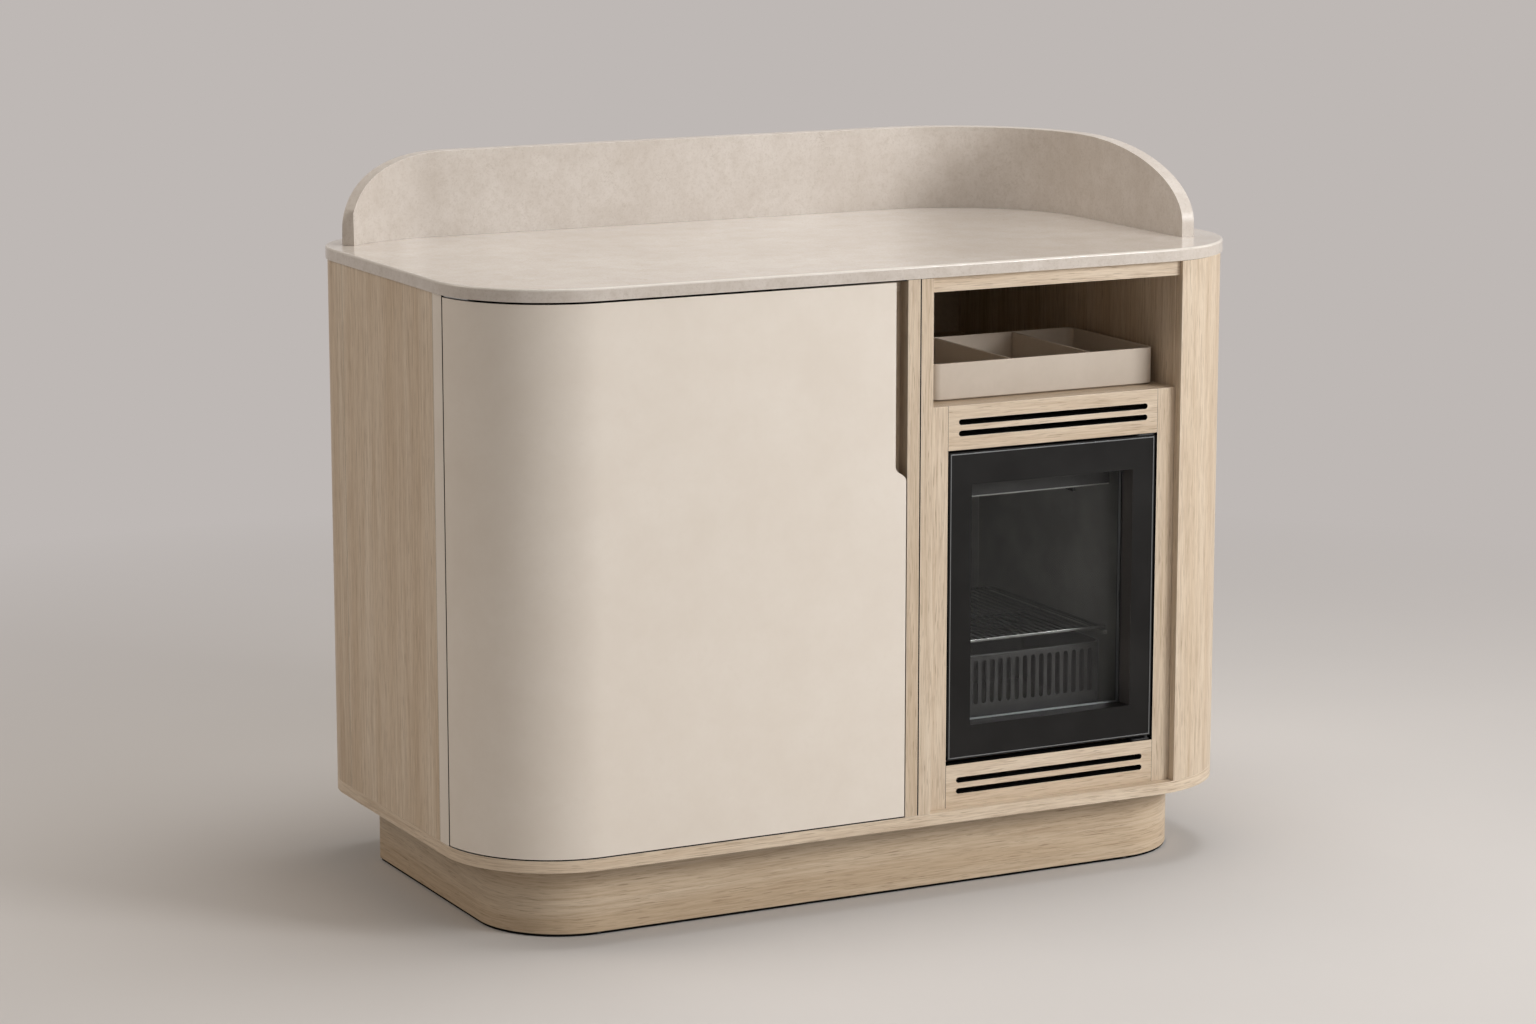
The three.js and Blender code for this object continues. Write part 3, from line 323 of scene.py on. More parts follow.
def lacquerFinish(name):
    settings = lacquerSettings
    pale, deep = settings["colours"][name]
    finish, tree, shader = newFinish(name)
    place = patternPlace(tree)
    cloud = pattern(tree, place, settings["cloud"])
    flecks = pattern(tree, place, settings["flecks"])
    ground = mixColour(tree, cloud, pale, deep)
    flecked = overlay(tree, ground, flecks, settings["flecks"]["share"], deep)
    highlitEdges = paintEdgeHighlight(tree, flecked, scaledColour(pale, settings["highlitEdges"]), settings["highlightShare"])
    roughness = between(tree, cloud, *settings["roughness"])
    setLook(tree, shader, highlitEdges, roughness, settings["specular"])
    addRelief(tree, shader, noise(tree, place, *settings["peel"]), *settings["relief"])
    return finish


# Moulded and powder-coated blacks and greys: a fine stipple, and a haze that breaks the gloss
stippleSettings = {
    "haze": (11, 3.0),
    "hazeColour": (0.4, 0.7),  # the range of the haze that changes the colour
    "hazeGloss": (0.35, 0.7),
    "glossSpread": (-0.05, 0.07),
    "hazed": (1.35, 0.002),  # factor and lift on the colour
    # painted highlight on the eased edges: factor and lift on the colour
    "highlitEdges": (2.2, 0.02),
    "detail": 2.0,
}


def stippledFinish(name, colour, roughness, scale=1400, depth=0.0001, strength=0.2, level=0.5, rub=0.5):
    settings = stippleSettings
    finish, tree, shader = newFinish(name)
    place = patternPlace(tree)
    haze = noise(tree, place, *settings["haze"])
    hazed = scaledColour(colour, *settings["hazed"])
    ground = mixColour(tree, restate(tree, haze, *settings["hazeColour"]), colour, hazed)
    highlitEdges = paintEdgeHighlight(tree, ground, scaledColour(colour, *settings["highlitEdges"]), rub)
    gloss = [roughness + spread for spread in settings["glossSpread"]]
    setLook(tree, shader, highlitEdges, restate(tree, haze, *settings["hazeGloss"], *gloss), level)
    addRelief(tree, shader, noise(tree, place, scale, settings["detail"]), strength, depth)
    return finish


# Metals: brush lines along one axis
brushSettings = {
    "alongBrush": 0.02,
    "lines": (1500, 3.0),
    "dull": 0.8,  # times the colour
    "linesGloss": (0.3, 0.7),
    "glossSpread": (-0.08, 0.1),
    "relief": (0.08, 0.0001),
}


def brushedFinish(name, colour, roughness, brush):
    settings = brushSettings
    finish, tree, shader = newFinish(name)
    scale = [settings["alongBrush"] if axis == brush else 1.0 for axis in "XYZ"]
    lines = noise(tree, placeSums(tree, "MULTIPLY", patternPlace(tree), scale), *settings["lines"])
    gloss = [roughness + spread for spread in settings["glossSpread"]]
    setSockets(tree, shader, {
        "Base Color": mixColour(tree, lines, scaledColour(colour, settings["dull"]), colour),
        "Metallic": 1.0,
        "Roughness": restate(tree, lines, *settings["linesGloss"], *gloss),
    })
    addRelief(tree, shader, lines, *settings["relief"])
    return finish


# Grey glass: tinted on the way through, with a faint reflection and a breath of haze
glassSettings = {
    "clear": (0.95, 0.955, 0.955, 1.0),
    "hazed": (0.925, 0.93, 0.93, 1.0),
    "ior": 1.22,
    "haze": (9, 4.0),
    "hazeGloss": (0.4, 0.7),
    "roughness": (0.01, 0.03),
}


def glassFinish(settings):
    finish, tree, shader = newFinish("tintedGlass")
    tree.nodes.remove(shader)
    haze = noise(tree, patternPlace(tree), *settings["haze"])
    tint = mixColour(tree, haze, settings["clear"], settings["hazed"])
    through = addNode(tree, "BsdfTransparent", {"Color": tint})
    gloss = addNode(tree, "BsdfAnisotropic", {
        "Roughness": restate(tree, haze, *settings["hazeGloss"], *settings["roughness"])})
    facing = addNode(tree, "Fresnel", {"IOR": settings["ior"]})
    showBoth(tree, facing.outputs["Fac"], through, gloss)
    return finish


# Plain pressed board: clouds and short pressed chips, hardly any gloss
boardSettings = {
    "pale": screenColour(196, 181, 160),
    "deep": screenColour(186, 170, 148),
    "chip": screenColour(160, 141, 117),
    "cloud": {"noise": (4, 3.0), "range": (0.35, 0.65)},
    "chips": {"noise": (160, 4.0, 0.7), "range": (0.4, 0.7), "share": 0.4},
    "roughness": (0.7, 0.85),
    "specular": 0.3,
    "relief": (0.12, 0.0003),
}


def boardFinish(settings):
    finish, tree, shader = newFinish("pressedBoard")
    place = patternPlace(tree)
    chips = pattern(tree, place, settings["chips"])
    cloud = pattern(tree, place, settings["cloud"])
    ground = mixColour(tree, cloud, settings["pale"], settings["deep"])
    chipped = overlay(tree, ground, chips, settings["chips"]["share"], settings["chip"])
    setLook(tree, shader, chipped, between(tree, chips, *settings["roughness"]), settings["specular"])
    addRelief(tree, shader, chips, *settings["relief"])
    return finish


finishes = {
    "oakUpright": oakFinish("oakUpright", "Z"),
    "oakLevel": oakFinish("oakLevel", "X"),
    "oakDeep": oakFinish("oakDeep", "Y"),
    "oakRound": oakFinish("oakRound", "X", "grainRun"),
    "oakShadedPlinth": oakFinish("oakShadedPlinth", "X", "grainRun", plinthShadeTone),
    "stone": stoneFinish("polishedStone"),
    "honedStone": stoneFinish("honedStone"),
    "doorLacquer": lacquerFinish("doorLacquer"),
    "trayLacquer": lacquerFinish("trayLacquer"),
    "board": boardFinish(boardSettings),
    "steel": brushedFinish("hingeSteel", screenColour(190, 190, 188), 0.34, "Y"),
    "wire": brushedFinish("shelfWire", screenColour(168, 168, 165), 0.3, "X"),
    "aluminium": brushedFinish("millAluminium", screenColour(196, 198, 200), 0.4, "Z"),
    "trim": brushedFinish("darkTrim", screenColour(132, 134, 135), 0.38, "X"),
    "frameBlack": stippledFinish("satinBlack", screenColour(17, 16, 15), 0.45, level=0.2),
    "frameRecess": stippledFinish("satinRecess", screenColour(64, 61, 59), 0.4, strength=0.1),
    "casing": stippledFinish("powderCoat", screenColour(40, 40, 41), 0.5),
    "liner": stippledFinish("linerGrey", screenColour(164, 162, 159), 0.5, strength=0.04),
    "basket": stippledFinish("basketGrey", screenColour(60, 58, 57), 0.36, strength=0.04),
    "lampGrey": stippledFinish("lampGrey", screenColour(62, 61, 60), 0.45, strength=0.05),
    "plastic": stippledFinish("blackPlastic", screenColour(34, 34, 35), 0.5),
    # Near-black painted into slots, gaps and undersides: painted shade
    "slotBlack": stippledFinish("slotBlack", screenColour(10, 9, 8), 0.8, level=0.1, rub=0.0),
    "rubber": stippledFinish("gasketRubber", screenColour(26, 26, 26), 0.75, scale=900, strength=0.3,
                             level=0.3),
    "foam": stippledFinish("rigidFoam", screenColour(216, 201, 160), 0.9, scale=500, depth=0.0006,
                           strength=0.5, level=0.2),
    "lens": stippledFinish("frostedLens", screenColour(206, 204, 198), 0.35, scale=700),
    "glass": glassFinish(glassSettings),
}
print("finishes made:", len(finishes))


# Bodies, names and finishes of pieces
pieceCount = {"made": 0}
patternStep = 0.731  # metres between one piece's pattern and the next one's
creaseAngle = math.radians(32)
flatAngle = math.radians(0.3)
weldDistance = 0.004 * mm
faceOn = 0.9  # least share of its normal that a face has along an axis it looks along


def keepPiece(shape, name, finish, body, replaced=()):
    for face in shape.faces:
        face.smooth = True
    for edge in shape.edges:
        if len(edge.link_faces) == 2:
            edge.smooth = edge.calc_face_angle() < creaseAngle
    mesh = bpy.data.meshes.new(name)
    shape.to_mesh(mesh)
    shape.free()
    pieceCount["made"] += 1
    shift = mesh.attributes.new("boardShift", "FLOAT", "POINT")
    shift.data.foreach_set("value", [patternStep * pieceCount["made"]] * len(mesh.vertices))
    for material in (finish if isinstance(finish, list) else [finish]):
        mesh.materials.append(finishes[material])
    piece = bpy.data.objects.new(name, mesh)
    bpy.context.scene.collection.objects.link(piece)
    weighted = piece.modifiers.new("evenNormals", "WEIGHTED_NORMAL")
    weighted.keep_sharp = True
    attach(piece, body)
    if replaced:
        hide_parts(*replaced)
    return piece


def bodyOf(node):
    return frame["nodes"][node]["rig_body"]


def newShape():
    shape = bmesh.new()
    shape.faces.layers.float.new("edgeHighlightMark")
    return shape


def easeEdges(shape, edges, width, segments):
    eased = bmesh.ops.bevel(shape, geom=edges, offset=width, offset_type="OFFSET", segments=segments,
                            profile=0.5, affect="EDGES", material=-1, clamp_overlap=True)
    # The bevel's faces are marked for the painted edge highlight
    highlitEdges = shape.faces.layers.float["edgeHighlightMark"]
    for face in eased["faces"]:
        face[highlitEdges] = 1.0


# A clean copy of a node's solid, its flat faces whole again
def nodeShape(node, weld=weldDistance):
    shape = newShape()
    shape.from_mesh(frame["nodes"][node].data)
    bmesh.ops.remove_doubles(shape, verts=shape.verts, dist=weld)
    bmesh.ops.dissolve_limit(shape, angle_limit=flatAngle, verts=shape.verts, edges=shape.edges)
    return shape


def sharpEdges(shape, chosen=None):
    edges = [edge for edge in shape.edges if len(edge.link_faces) == 2]
    edges = [edge for edge in edges if edge.calc_face_angle() > creaseAngle]
    return [edge for edge in edges if chosen is None or chosen(edge)]


# Eases are in millimetres; sort gives each face the number of its finish
def easedNode(node, finish, ease, segments=2, chosen=None, sort=None, weld=weldDistance):
    shape = nodeShape(node, weld)
    easeEdges(shape, sharpEdges(shape, chosen), ease * mm, segments)
    if sort:
        for face in shape.faces:
            face.material_index = sort(face)
    return keepPiece(shape, node + "_finished", finish, bodyOf(node), [node])


# Stone worktop and upstand: the worktop's top edge is rounded more than its underside
worktopEases = {"top": 3.0, "topSegments": 4, "under": 0.7, "underSegments": 2}
upstandEase = {"width": 2.0, "segments": 3, "crispFoot": 0.5, "weld": 1.8}


def makeWorktop(settings):
    middle = sum(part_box("worktop"), Vector()).z / 2
    shape = nodeShape("worktop")
    upper = sharpEdges(shape, lambda edge: min(corner.co.z for corner in edge.verts) > middle)
    easeEdges(shape, upper, settings["top"] * mm, settings["topSegments"])
    lower = sharpEdges(shape, lambda edge: max(corner.co.z for corner in edge.verts) < middle)
    easeEdges(shape, lower, settings["under"] * mm, settings["underSegments"])
    keepPiece(shape, "worktop_finished", "stone", bodyOf("worktop"), ["worktop"])


def aboveFoot(edge):
    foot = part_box("upstand")[0].z + upstandEase["crispFoot"] * mm
    return max(corner.co.z for corner in edge.verts) > foot


makeWorktop(worktopEases)
easedNode("upstand", "honedStone", upstandEase["width"], upstandEase["segments"], aboveFoot,
          weld=upstandEase["weld"] * mm)
print("stone done")


# Faces that meet a neighbouring board are painted black there: painted shade in the gap, so that the joint
# shows as a dark line.
# The reach, in millimetres from the side, is wider under the stone
jointReach = {"x": 0.35, "y": 0.35, "z": 0.8}


def jointFaces(node, sides):
    corners = dict(zip(("low", "high"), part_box(node)))
    planes = []
    for side in sides:
        axis = "xyz".index(side[0])
        planes.append((axis, corners[side[1:]][axis], jointReach[side[0]] * mm))

    def sort(face):
        for axis, place, reach in planes:
            if all(abs(corner.co[axis] - place) < reach for corner in face.verts):
                return 1
        return 0
    return sort


# Oak boards, by the way their grain runs: the ease in millimetres, then the sides that meet a neighbour and
# get painted shade
oakBoards = {
    "oakUpright": {
        "left_side_panel": (0.7, ("ylow", "yhigh", "zhigh")),
        "left_rear_corner": (0.7, ("ylow", "zhigh")),
        "right_front_corner": (0.7, ("yhigh", "zhigh")),
        "right_side_panel": (0.7, ("ylow", "yhigh", "zhigh")),
        "right_rear_corner": (0.7, ("ylow", "zhigh")),
        "divider_left": (0.7, ("xhigh", "zhigh")),
        "divider_right": (0.7, ("xlow", "zhigh")),
        "right_partition": (0.7, ()),
        "fridge_stile_left": (0.7, ("xlow", "xhigh")),
        "fridge_stile_right": (0.7, ("xlow", "xhigh")),
        "door_stop_batten": (0.8, ()),
    },
    "oakLevel": {
        "niche_top_rail": (0.7, ("xlow", "xhigh", "zhigh")),
        "niche_ceiling": (0.6, ()),
        "niche_shelf": (0.8, ()),
        "cupboard_top": (0.6, ()),
        "cupboard_shelf": (1.0, ()),
    },
    "oakDeep": {
        "shelf_cleat_left": (0.8, ()),
        "shelf_cleat_right": (0.8, ()),
    },
}
for grain, boards in oakBoards.items():
    for node, (ease, sides) in boards.items():
        easedNode(node, [grain, "slotBlack"], ease, sort=jointFaces(node, sides))

# Hinge stile: lacquered as the door, painted black as painted shade where the door, the side panel and the
# stone meet it
hingeStile = {"ease": 0.7, "joints": ("ylow", "yhigh", "zhigh")}
easedNode("left_front_stile", ["doorLacquer", "slotBlack"], hingeStile["ease"],
          sort=jointFaces("left_front_stile", hingeStile["joints"]))

# Vent rails: the walls of their slots are painted black, as painted shade inside the slots
ventRails = {"ease": 0.7, "slotInset": 3.0,
             "doorSides": {"upper_vent_rail": "zlow", "lower_vent_rail": "zhigh"}}


# Walls of the openings inside a node, further from its outline than the inset
def openingWalls(node, sides, inset):
    low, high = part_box(node)
    inset = inset * mm
    joint = jointFaces(node, sides)

    def sort(face):
        centre = face.calc_center_median()
        inside = low.z + inset < centre.z < high.z - inset and low.x + inset < centre.x < high.x - inset
        return 1 if inside and abs(face.normal.y) < faceOn else joint(face)
    return sort


for node, doorSide in ventRails["doorSides"].items():
    easedNode(node, ["oakLevel", "slotBlack"], ventRails["ease"],
              sort=openingWalls(node, ("xlow", "xhigh", doorSide), ventRails["slotInset"]))

# Base board and plinth: the grain runs round their edges. What faces down more than the slope is painted
# black: painted shade under them
roundBoards = {
    "base_board": {"finish": "oakRound", "ease": 1.4, "shadeSlope": -0.9,
                   "frontRadius": 165, "rearRadius": 115},
    "plinth": {"finish": "oakShadedPlinth", "ease": 1.0, "shadeSlope": -0.2,
               "frontRadius": 125, "rearRadius": 0.1},  # its rear corners are square
}


# Distance along the wall from the middle of the front, to the right; the left side counts backwards
def runRound(x, y, low, high, frontRadius, rearRadius):
    halfWidth = (high.x - low.x) / 2
    across = abs(x)
    frontFlat = halfWidth - frontRadius
    frontTurn = low.y + frontRadius
    rearFlat = halfWidth - rearRadius
    rearTurn = high.y - rearRadius
    sideStart = frontFlat + frontRadius * math.pi / 2
    sideEnd = sideStart + rearTurn - frontTurn
    if across <= frontFlat and y < 0:
        run = across
    elif y <= frontTurn:
        run = frontFlat + frontRadius * math.atan2(across - frontFlat, frontTurn - y)
    elif y <= rearTurn:
        run = sideStart + y - frontTurn
    elif across > rearFlat:
        run = sideEnd + rearRadius * math.atan2(y - rearTurn, across - rearFlat)
    else:
        run = sideEnd + rearRadius * math.pi / 2 + rearFlat - across
    return math.copysign(run, x)


# Walls take the round grain, the top the level grain, the underside the black of painted shade
def boardSides(shadeSlope):
    def sort(face):
        if face.normal.z < shadeSlope:
            return 2
        return 1 if face.normal.z > faceOn else 0
    return sort


for node, settings in roundBoards.items():
    low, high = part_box(node)
    layers = [settings["finish"], "oakLevel", "slotBlack"]
    piece = easedNode(node, layers, settings["ease"], sort=boardSides(settings["shadeSlope"]))
    radii = (settings["frontRadius"] * mm, settings["rearRadius"] * mm)
    runs = []
    for vertex in piece.data.vertices:
        x, y, z = vertex.co
        runs += [runRound(x, y, low, high, *radii), 0.0, z]
    piece.data.attributes.new("grainRun", "FLOAT_VECTOR", "POINT").data.foreach_set("vector", runs)
print("oak done")

# Cupboard door: its long edges are eased, its hinge pockets stay crisp, its foot and head are painted black
# as painted shade in the gaps above and below it
doorEase = {
    "width": 1.0,
    "segments": 3,
    "longEdge": 80,  # an upright edge longer than this is no pocket's
    "pocketGap": 2,
    "shadeSlope": 0.5,
}


def awayFromPockets(edge):
    low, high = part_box("door_leaf_lower")
    gap = doorEase["pocketGap"] * mm
    middle = (edge.verts[0].co + edge.verts[1].co) / 2
    upright = abs(edge.verts[0].co.z - edge.verts[1].co.z) > doorEase["longEdge"] * mm
    return upright or middle.x > high.x + gap or middle.y < low.y - gap


def shadedEnds(face):
    return 1 if abs(face.normal.z) > doorEase["shadeSlope"] else 0


easedNode("cupboard_door", ["doorLacquer", "slotBlack"], doorEase["width"],
          doorEase["segments"], awayFromPockets, shadedEnds)

# Tray and its dividers: eases in millimetres
trayEases = {"tray": 1.1, "tray_divider_left": 0.9, "tray_divider_right": 0.9}
for node, ease in trayEases.items():
    easedNode(node, "trayLacquer", ease, segments=3)

# Board, steel, plastic and fridge nodes, by their finish, slot and ease in millimetres
plainNodes = {
    ("board", "back_board", 0.6): ["back_panel", "fridge_platform"],
    ("steel", "hinge_steel", 0.3): ["door_leaf_lower", "door_leaf_upper", "pivot_bracket_lower",
                                    "pivot_bracket_upper", "catch_strike"],
    ("casing", "hinge_steel", 0.3): ["fridge_hinge_lower", "fridge_hinge_upper"],
    ("plastic", "black_plastic", 0.5): ["glide_front_left", "glide_front_right", "glide_rear_left",
                                        "glide_rear_right"],
    ("plastic", "black_plastic", 0.8): ["cable_grommet", "magnetic_catch"],
    ("plastic", "black_plastic", 0.6): ["thermostat_knob"],
    ("casing", "black_plastic", 0.6): ["absorber_tank"],
    ("casing", "fridge_casing", 0.6): ["fridge_casing"],
    ("foam", "insulation", 0.5): ["fridge_insulation"],
    ("liner", "fridge_liner", 0.8): ["fridge_liner"],
    ("lampGrey", "lamp_plastic", 1.0): ["lamp_housing"],
    ("aluminium", "bare_aluminium", 0.4): ["evaporator_plate"],
    ("trim", "door_trim", 0.15): ["fridge_door_trim"],
    ("aluminium", "bare_aluminium", 0.3): ["glass_spacer"],
    ("glass", "tinted_glass", 0.3): ["glass_outer", "glass_inner"],
    ("basket", "basket_plastic", 0.5): ["bottle_basket"],
}
for (finish, slot, ease), nodes in plainNodes.items():
    for node in nodes:
        easedNode(node, finish, ease)

# Fridge door frame: the upright walls of its opening are a shade lighter
fridgeFrame = {"ease": 1.0, "openingInset": 20.0, "uprightSlope": 0.7}
frameOpening = openingWalls("fridge_door_frame", (), fridgeFrame["openingInset"])


def uprightWalls(face):
    return frameOpening(face) if abs(face.normal.x) > fridgeFrame["uprightSlope"] else 0


easedNode("fridge_door_frame", ["frameBlack", "frameRecess"], fridgeFrame["ease"],
          sort=uprightWalls)
print("nodes dressed:", pieceCount["made"])


# Building blocks of the fine parts
def addRod(shape, start, end, radius, sides=12):
    along = Vector(end) - Vector(start)
    turn = along.to_track_quat("Z", "Y").to_matrix().to_4x4()
    place = Matrix.Translation((Vector(start) + Vector(end)) / 2) @ turn
    bmesh.ops.create_cone(shape, cap_ends=True, segments=sides, radius1=radius, radius2=radius,
                          depth=along.length, matrix=place)


def addBlock(shape, low, high, ease, segments=2):
    low, high = Vector(low), Vector(high)
    place = Matrix.Translation((low + high) / 2) @ Matrix.Diagonal((*(high - low), 1.0))
    corners = bmesh.ops.create_cube(shape, size=1.0, matrix=place)["verts"]
    edges = list({edge for corner in corners for edge in corner.link_edges})
    easeEdges(shape, edges, ease, segments)


# A tube or bar grows from a ring of edges: drawn straight on, or turned about a bend's centre
def startTube(shape, place, along, radius, sides=14):
    turn = Vector(along).to_track_quat("Z", "Y").to_matrix().to_4x4()
    return bmesh.ops.create_circle(shape, cap_ends=False, segments=sides, radius=radius,
                                   matrix=Matrix.Translation(place) @ turn)["verts"]


def ringEdges(ring):
    corners = set(ring)
    edges = {edge for corner in ring for edge in corner.link_edges}
    return [edge for edge in edges if corners.issuperset(edge.verts)]


def onlyCorners(parts):
    return [part for part in parts if isinstance(part, bmesh.types.BMVert)]


def drawStraight(shape, ring, move):
    drawn = onlyCorners(bmesh.ops.extrude_edge_only(shape, edges=ringEdges(ring))["geom"])
    bmesh.ops.translate(shape, verts=drawn, vec=move)
    return drawn


def drawBend(shape, ring, centre, axis, degrees, steps=10):
    turned = bmesh.ops.spin(shape, geom=list(ring) + ringEdges(ring), cent=centre, axis=axis,
                            angle=math.radians(degrees), steps=steps, use_duplicate=False)
    return onlyCorners(turned["geom_last"])


def closeTube(shape, first, last):
    bmesh.ops.holes_fill(shape, edges=ringEdges(first) + ringEdges(last), sides=0)
    bmesh.ops.recalc_face_normals(shape, faces=shape.faces)


# Wire shelf: a flat front bar, a bent frame rod, welded round wires and one stiffener below them
shelfSettings = {
    "barThickness": 3.0,
    "barHeight": 4.5,
    "barRise": 2.0,
    "barEase": 1.0,
    "rod": 2.5,
    "bend": 14.0,
    "wire": 1.3,
    "wires": 21,
    "stiffener": 1.2,
    "weld": 1.0,
}


def makeWireShelf(settings):
    low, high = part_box("wire_shelf")
    rod = settings["rod"] * mm
    wire = settings["wire"] * mm
    bend = settings["bend"] * mm
    stiffener = settings["stiffener"] * mm
    top = high.z - settings["barRise"] * mm
    barBack = low.y + settings["barThickness"] * mm
    left, right, rear = low.x + rod, high.x - rod, high.y - rod
    shape = newShape()
    z = top - rod
    start = barBack - settings["weld"] * mm
    first = startTube(shape, (left, start, z), (0, 1, 0), rod)
    ring = drawStraight(shape, first, (0, rear - bend - start, 0))
    ring = drawBend(shape, ring, (left + bend, rear - bend, z), (0, 0, 1), -90)
    ring = drawStraight(shape, ring, (right - left - 2 * bend, 0, 0))
    ring = drawBend(shape, ring, (right - bend, rear - bend, z), (0, 0, 1), -90)
    closeTube(shape, first, drawStraight(shape, ring, (0, start - rear + bend, 0)))
    addBlock(shape, (low.x, low.y, high.z - settings["barHeight"] * mm), (high.x, barBack, high.z),
             settings["barEase"] * mm, segments=3)
    pitch = (right - left) / (settings["wires"] + 1)
    for index in range(1, settings["wires"] + 1):
        x = left + index * pitch
        addRod(shape, (x, start, top - wire), (x, rear, top - wire), wire)
    middle = (barBack + rear) / 2
    z = top - 2 * wire - stiffener
    addRod(shape, (left, middle, z), (right, middle, z), stiffener)
    keepPiece(shape, "round_wire_shelf", "wire", bodyOf("wire_shelf"), ["wire_shelf"])


makeWireShelf(shelfSettings)

# Rolled rim along the top of the basket
rimSettings = {"radius": 1.7, "corner": 16.0, "inset": 1.3, "merge": 0.01}


def makeBasketRim(settings):
    low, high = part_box("bottle_basket")
    radius = settings["radius"] * mm
    corner = settings["corner"] * mm
    inset = settings["inset"] * mm
    z = high.z - radius
    left, right = low.x + inset + corner, high.x - inset - corner
    front, rear = low.y + inset + corner, high.y - inset - corner
    shape = newShape()
    ring = startTube(shape, (left, front - corner, z), (1, 0, 0), radius)
    for move, turn in (((right - left, 0, 0), (right, front, z)), ((0, rear - front, 0), (right, rear, z)),
                       ((left - right, 0, 0), (left, rear, z)), ((0, front - rear, 0), (left, front, z))):
        ring = drawStraight(shape, ring, move)
        ring = drawBend(shape, ring, turn, (0, 0, 1), 90)
    bmesh.ops.remove_doubles(shape, verts=shape.verts, dist=settings["merge"] * mm)
    bmesh.ops.recalc_face_normals(shape, faces=shape.faces)
    keepPiece(shape, "basket_rim", "basket", bodyOf("bottle_basket"))


makeBasketRim(rimSettings)

# Lamp: a pale strip along the housing's lip as a painted highlight, and a frosted lens behind it
lampParts = {
    "lipDrop": 4.0,  # from the housing's underside to the foot of its lip
    "stripHeight": 1.5,
    "stripThickness": 0.8,
    "stripInset": 1.0,
    "stripRise": 0.4,
    "stripSink": 0.2,
    "stripEase": 0.3,
    "lensAcross": (0.16, 0.62),  # shares of the housing's width
    "lensAlong": (0.22, 0.78),  # shares of its depth
    "lensThickness": 2.0,
    "lensSink": 0.5,
    "lensEase": 0.9,
}


def makeLampParts(settings):
    low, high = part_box("lamp_housing")
    body = bodyOf("lamp_housing")
    inset = settings["stripInset"] * mm
    foot = low.z + settings["stripRise"] * mm
    shape = newShape()
    addBlock(shape, (low.x + inset, low.y - settings["stripThickness"] * mm, foot),
             (high.x - inset, low.y + settings["stripSink"] * mm, foot + settings["stripHeight"] * mm),
             settings["stripEase"] * mm)
    keepPiece(shape, "lamp_highlight_strip", "lens", body)
    left, right = (low.x + share * (high.x - low.x) for share in settings["lensAcross"])
    front, rear = (low.y + share * (high.y - low.y) for share in settings["lensAlong"])
    under = low.z + settings["lipDrop"] * mm
    shape = newShape()
    addBlock(shape, (left, front, under - settings["lensThickness"] * mm),
             (right, rear, under + settings["lensSink"] * mm), settings["lensEase"] * mm, segments=3)
    keepPiece(shape, "lamp_lens", "lens", body)


makeLampParts(lampParts)

# Thermostat: marks round the knob that grow with the cold, and a pointer on its grip
dialSettings = {
    "marks": 7,
    "radius": 16.0,
    "firstSize": 1.0,
    "lastSize": 4.0,
    "markWidth": 1.0,
    "sweep": 270.0,
    "relief": 0.4,
    "pointerWidth": 1.2,
    "pointerStart": 3.0,  # from the knob's front edge
    "pointerEnd": 2.0,  # in front of its axis
    "pointerRise": 0.2,
    "pointerSink": 0.3,
    "pointerEase": 0.1,
}


def makeDial(settings):
    low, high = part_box("thermostat_knob")
    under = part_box("lamp_housing")[0].z + lampParts["lipDrop"] * mm
    x, y = (low.x + high.x) / 2, (low.y + high.y) / 2
    shape = newShape()
    for index in range(settings["marks"]):
        share = index / (settings["marks"] - 1)
        turn = math.radians(settings["sweep"]) * (share - 0.5)
        size = settings["firstSize"] + share * (settings["lastSize"] - settings["firstSize"])
        outward = Matrix.Translation((0, -(settings["radius"] + size / 2) * mm, 0))
        stroke = Matrix.Diagonal((settings["markWidth"] * mm, size * mm, 2 * settings["relief"] * mm, 1.0))
        place = Matrix.Translation((x, y, under)) @ Matrix.Rotation(turn, 4, "Z") @ outward @ stroke
        bmesh.ops.create_cube(shape, size=1.0, matrix=place)
    keepPiece(shape, "dial_marks", "lens", bodyOf("lamp_housing"))
    half = settings["pointerWidth"] * mm / 2
    shape = newShape()
    addBlock(shape,
             (x - half, low.y + settings["pointerStart"] * mm, low.z - settings["pointerRise"] * mm),
             (x + half, y - settings["pointerEnd"] * mm, low.z + settings["pointerSink"] * mm),
             settings["pointerEase"] * mm)
    keepPiece(shape, "knob_pointer", "lens", bodyOf("thermostat_knob"))


makeDial(dialSettings)

# Door gasket: two soft lips with a channel between them
gasketSettings = {"lip": 5.0, "slope": 4.0, "channel": 3.0, "ease": 1.2, "segments": 3}


def makeGasket(settings):
    shape = nodeShape("door_gasket")
    back = [face for face in shape.faces if face.normal.y > faceOn]
    bmesh.ops.inset_region(shape, faces=back, thickness=settings["lip"] * mm, use_even_offset=True)
    bmesh.ops.inset_region(shape, faces=back, thickness=settings["slope"] * mm,
                           depth=-settings["channel"] * mm, use_even_offset=True)
    easeEdges(shape, sharpEdges(shape), settings["ease"] * mm, settings["segments"])
    keepPiece(shape, "soft_gasket", "rubber", bodyOf("door_gasket"), ["door_gasket"])


makeGasket(gasketSettings)

# Cooling unit: the condenser's round tube, its thin wires and the pipes to tank and casing
coolingSettings = {
    "tube": 5.4,
    "width": 250.0,
    "pitch": 44.0,
    "runs": 6,
    "turnSteps": 16,
    "pipeBend": 18.0,
    "seat": 12.0,  # how deep the pipe stands in the tank
    "wire": 0.9,
    "wirePitch": 9.0,
    "wireReach": 9.0,
    "wireStandoff": 0.45,  # less than the wire's radius, so that it is welded to the tube
}


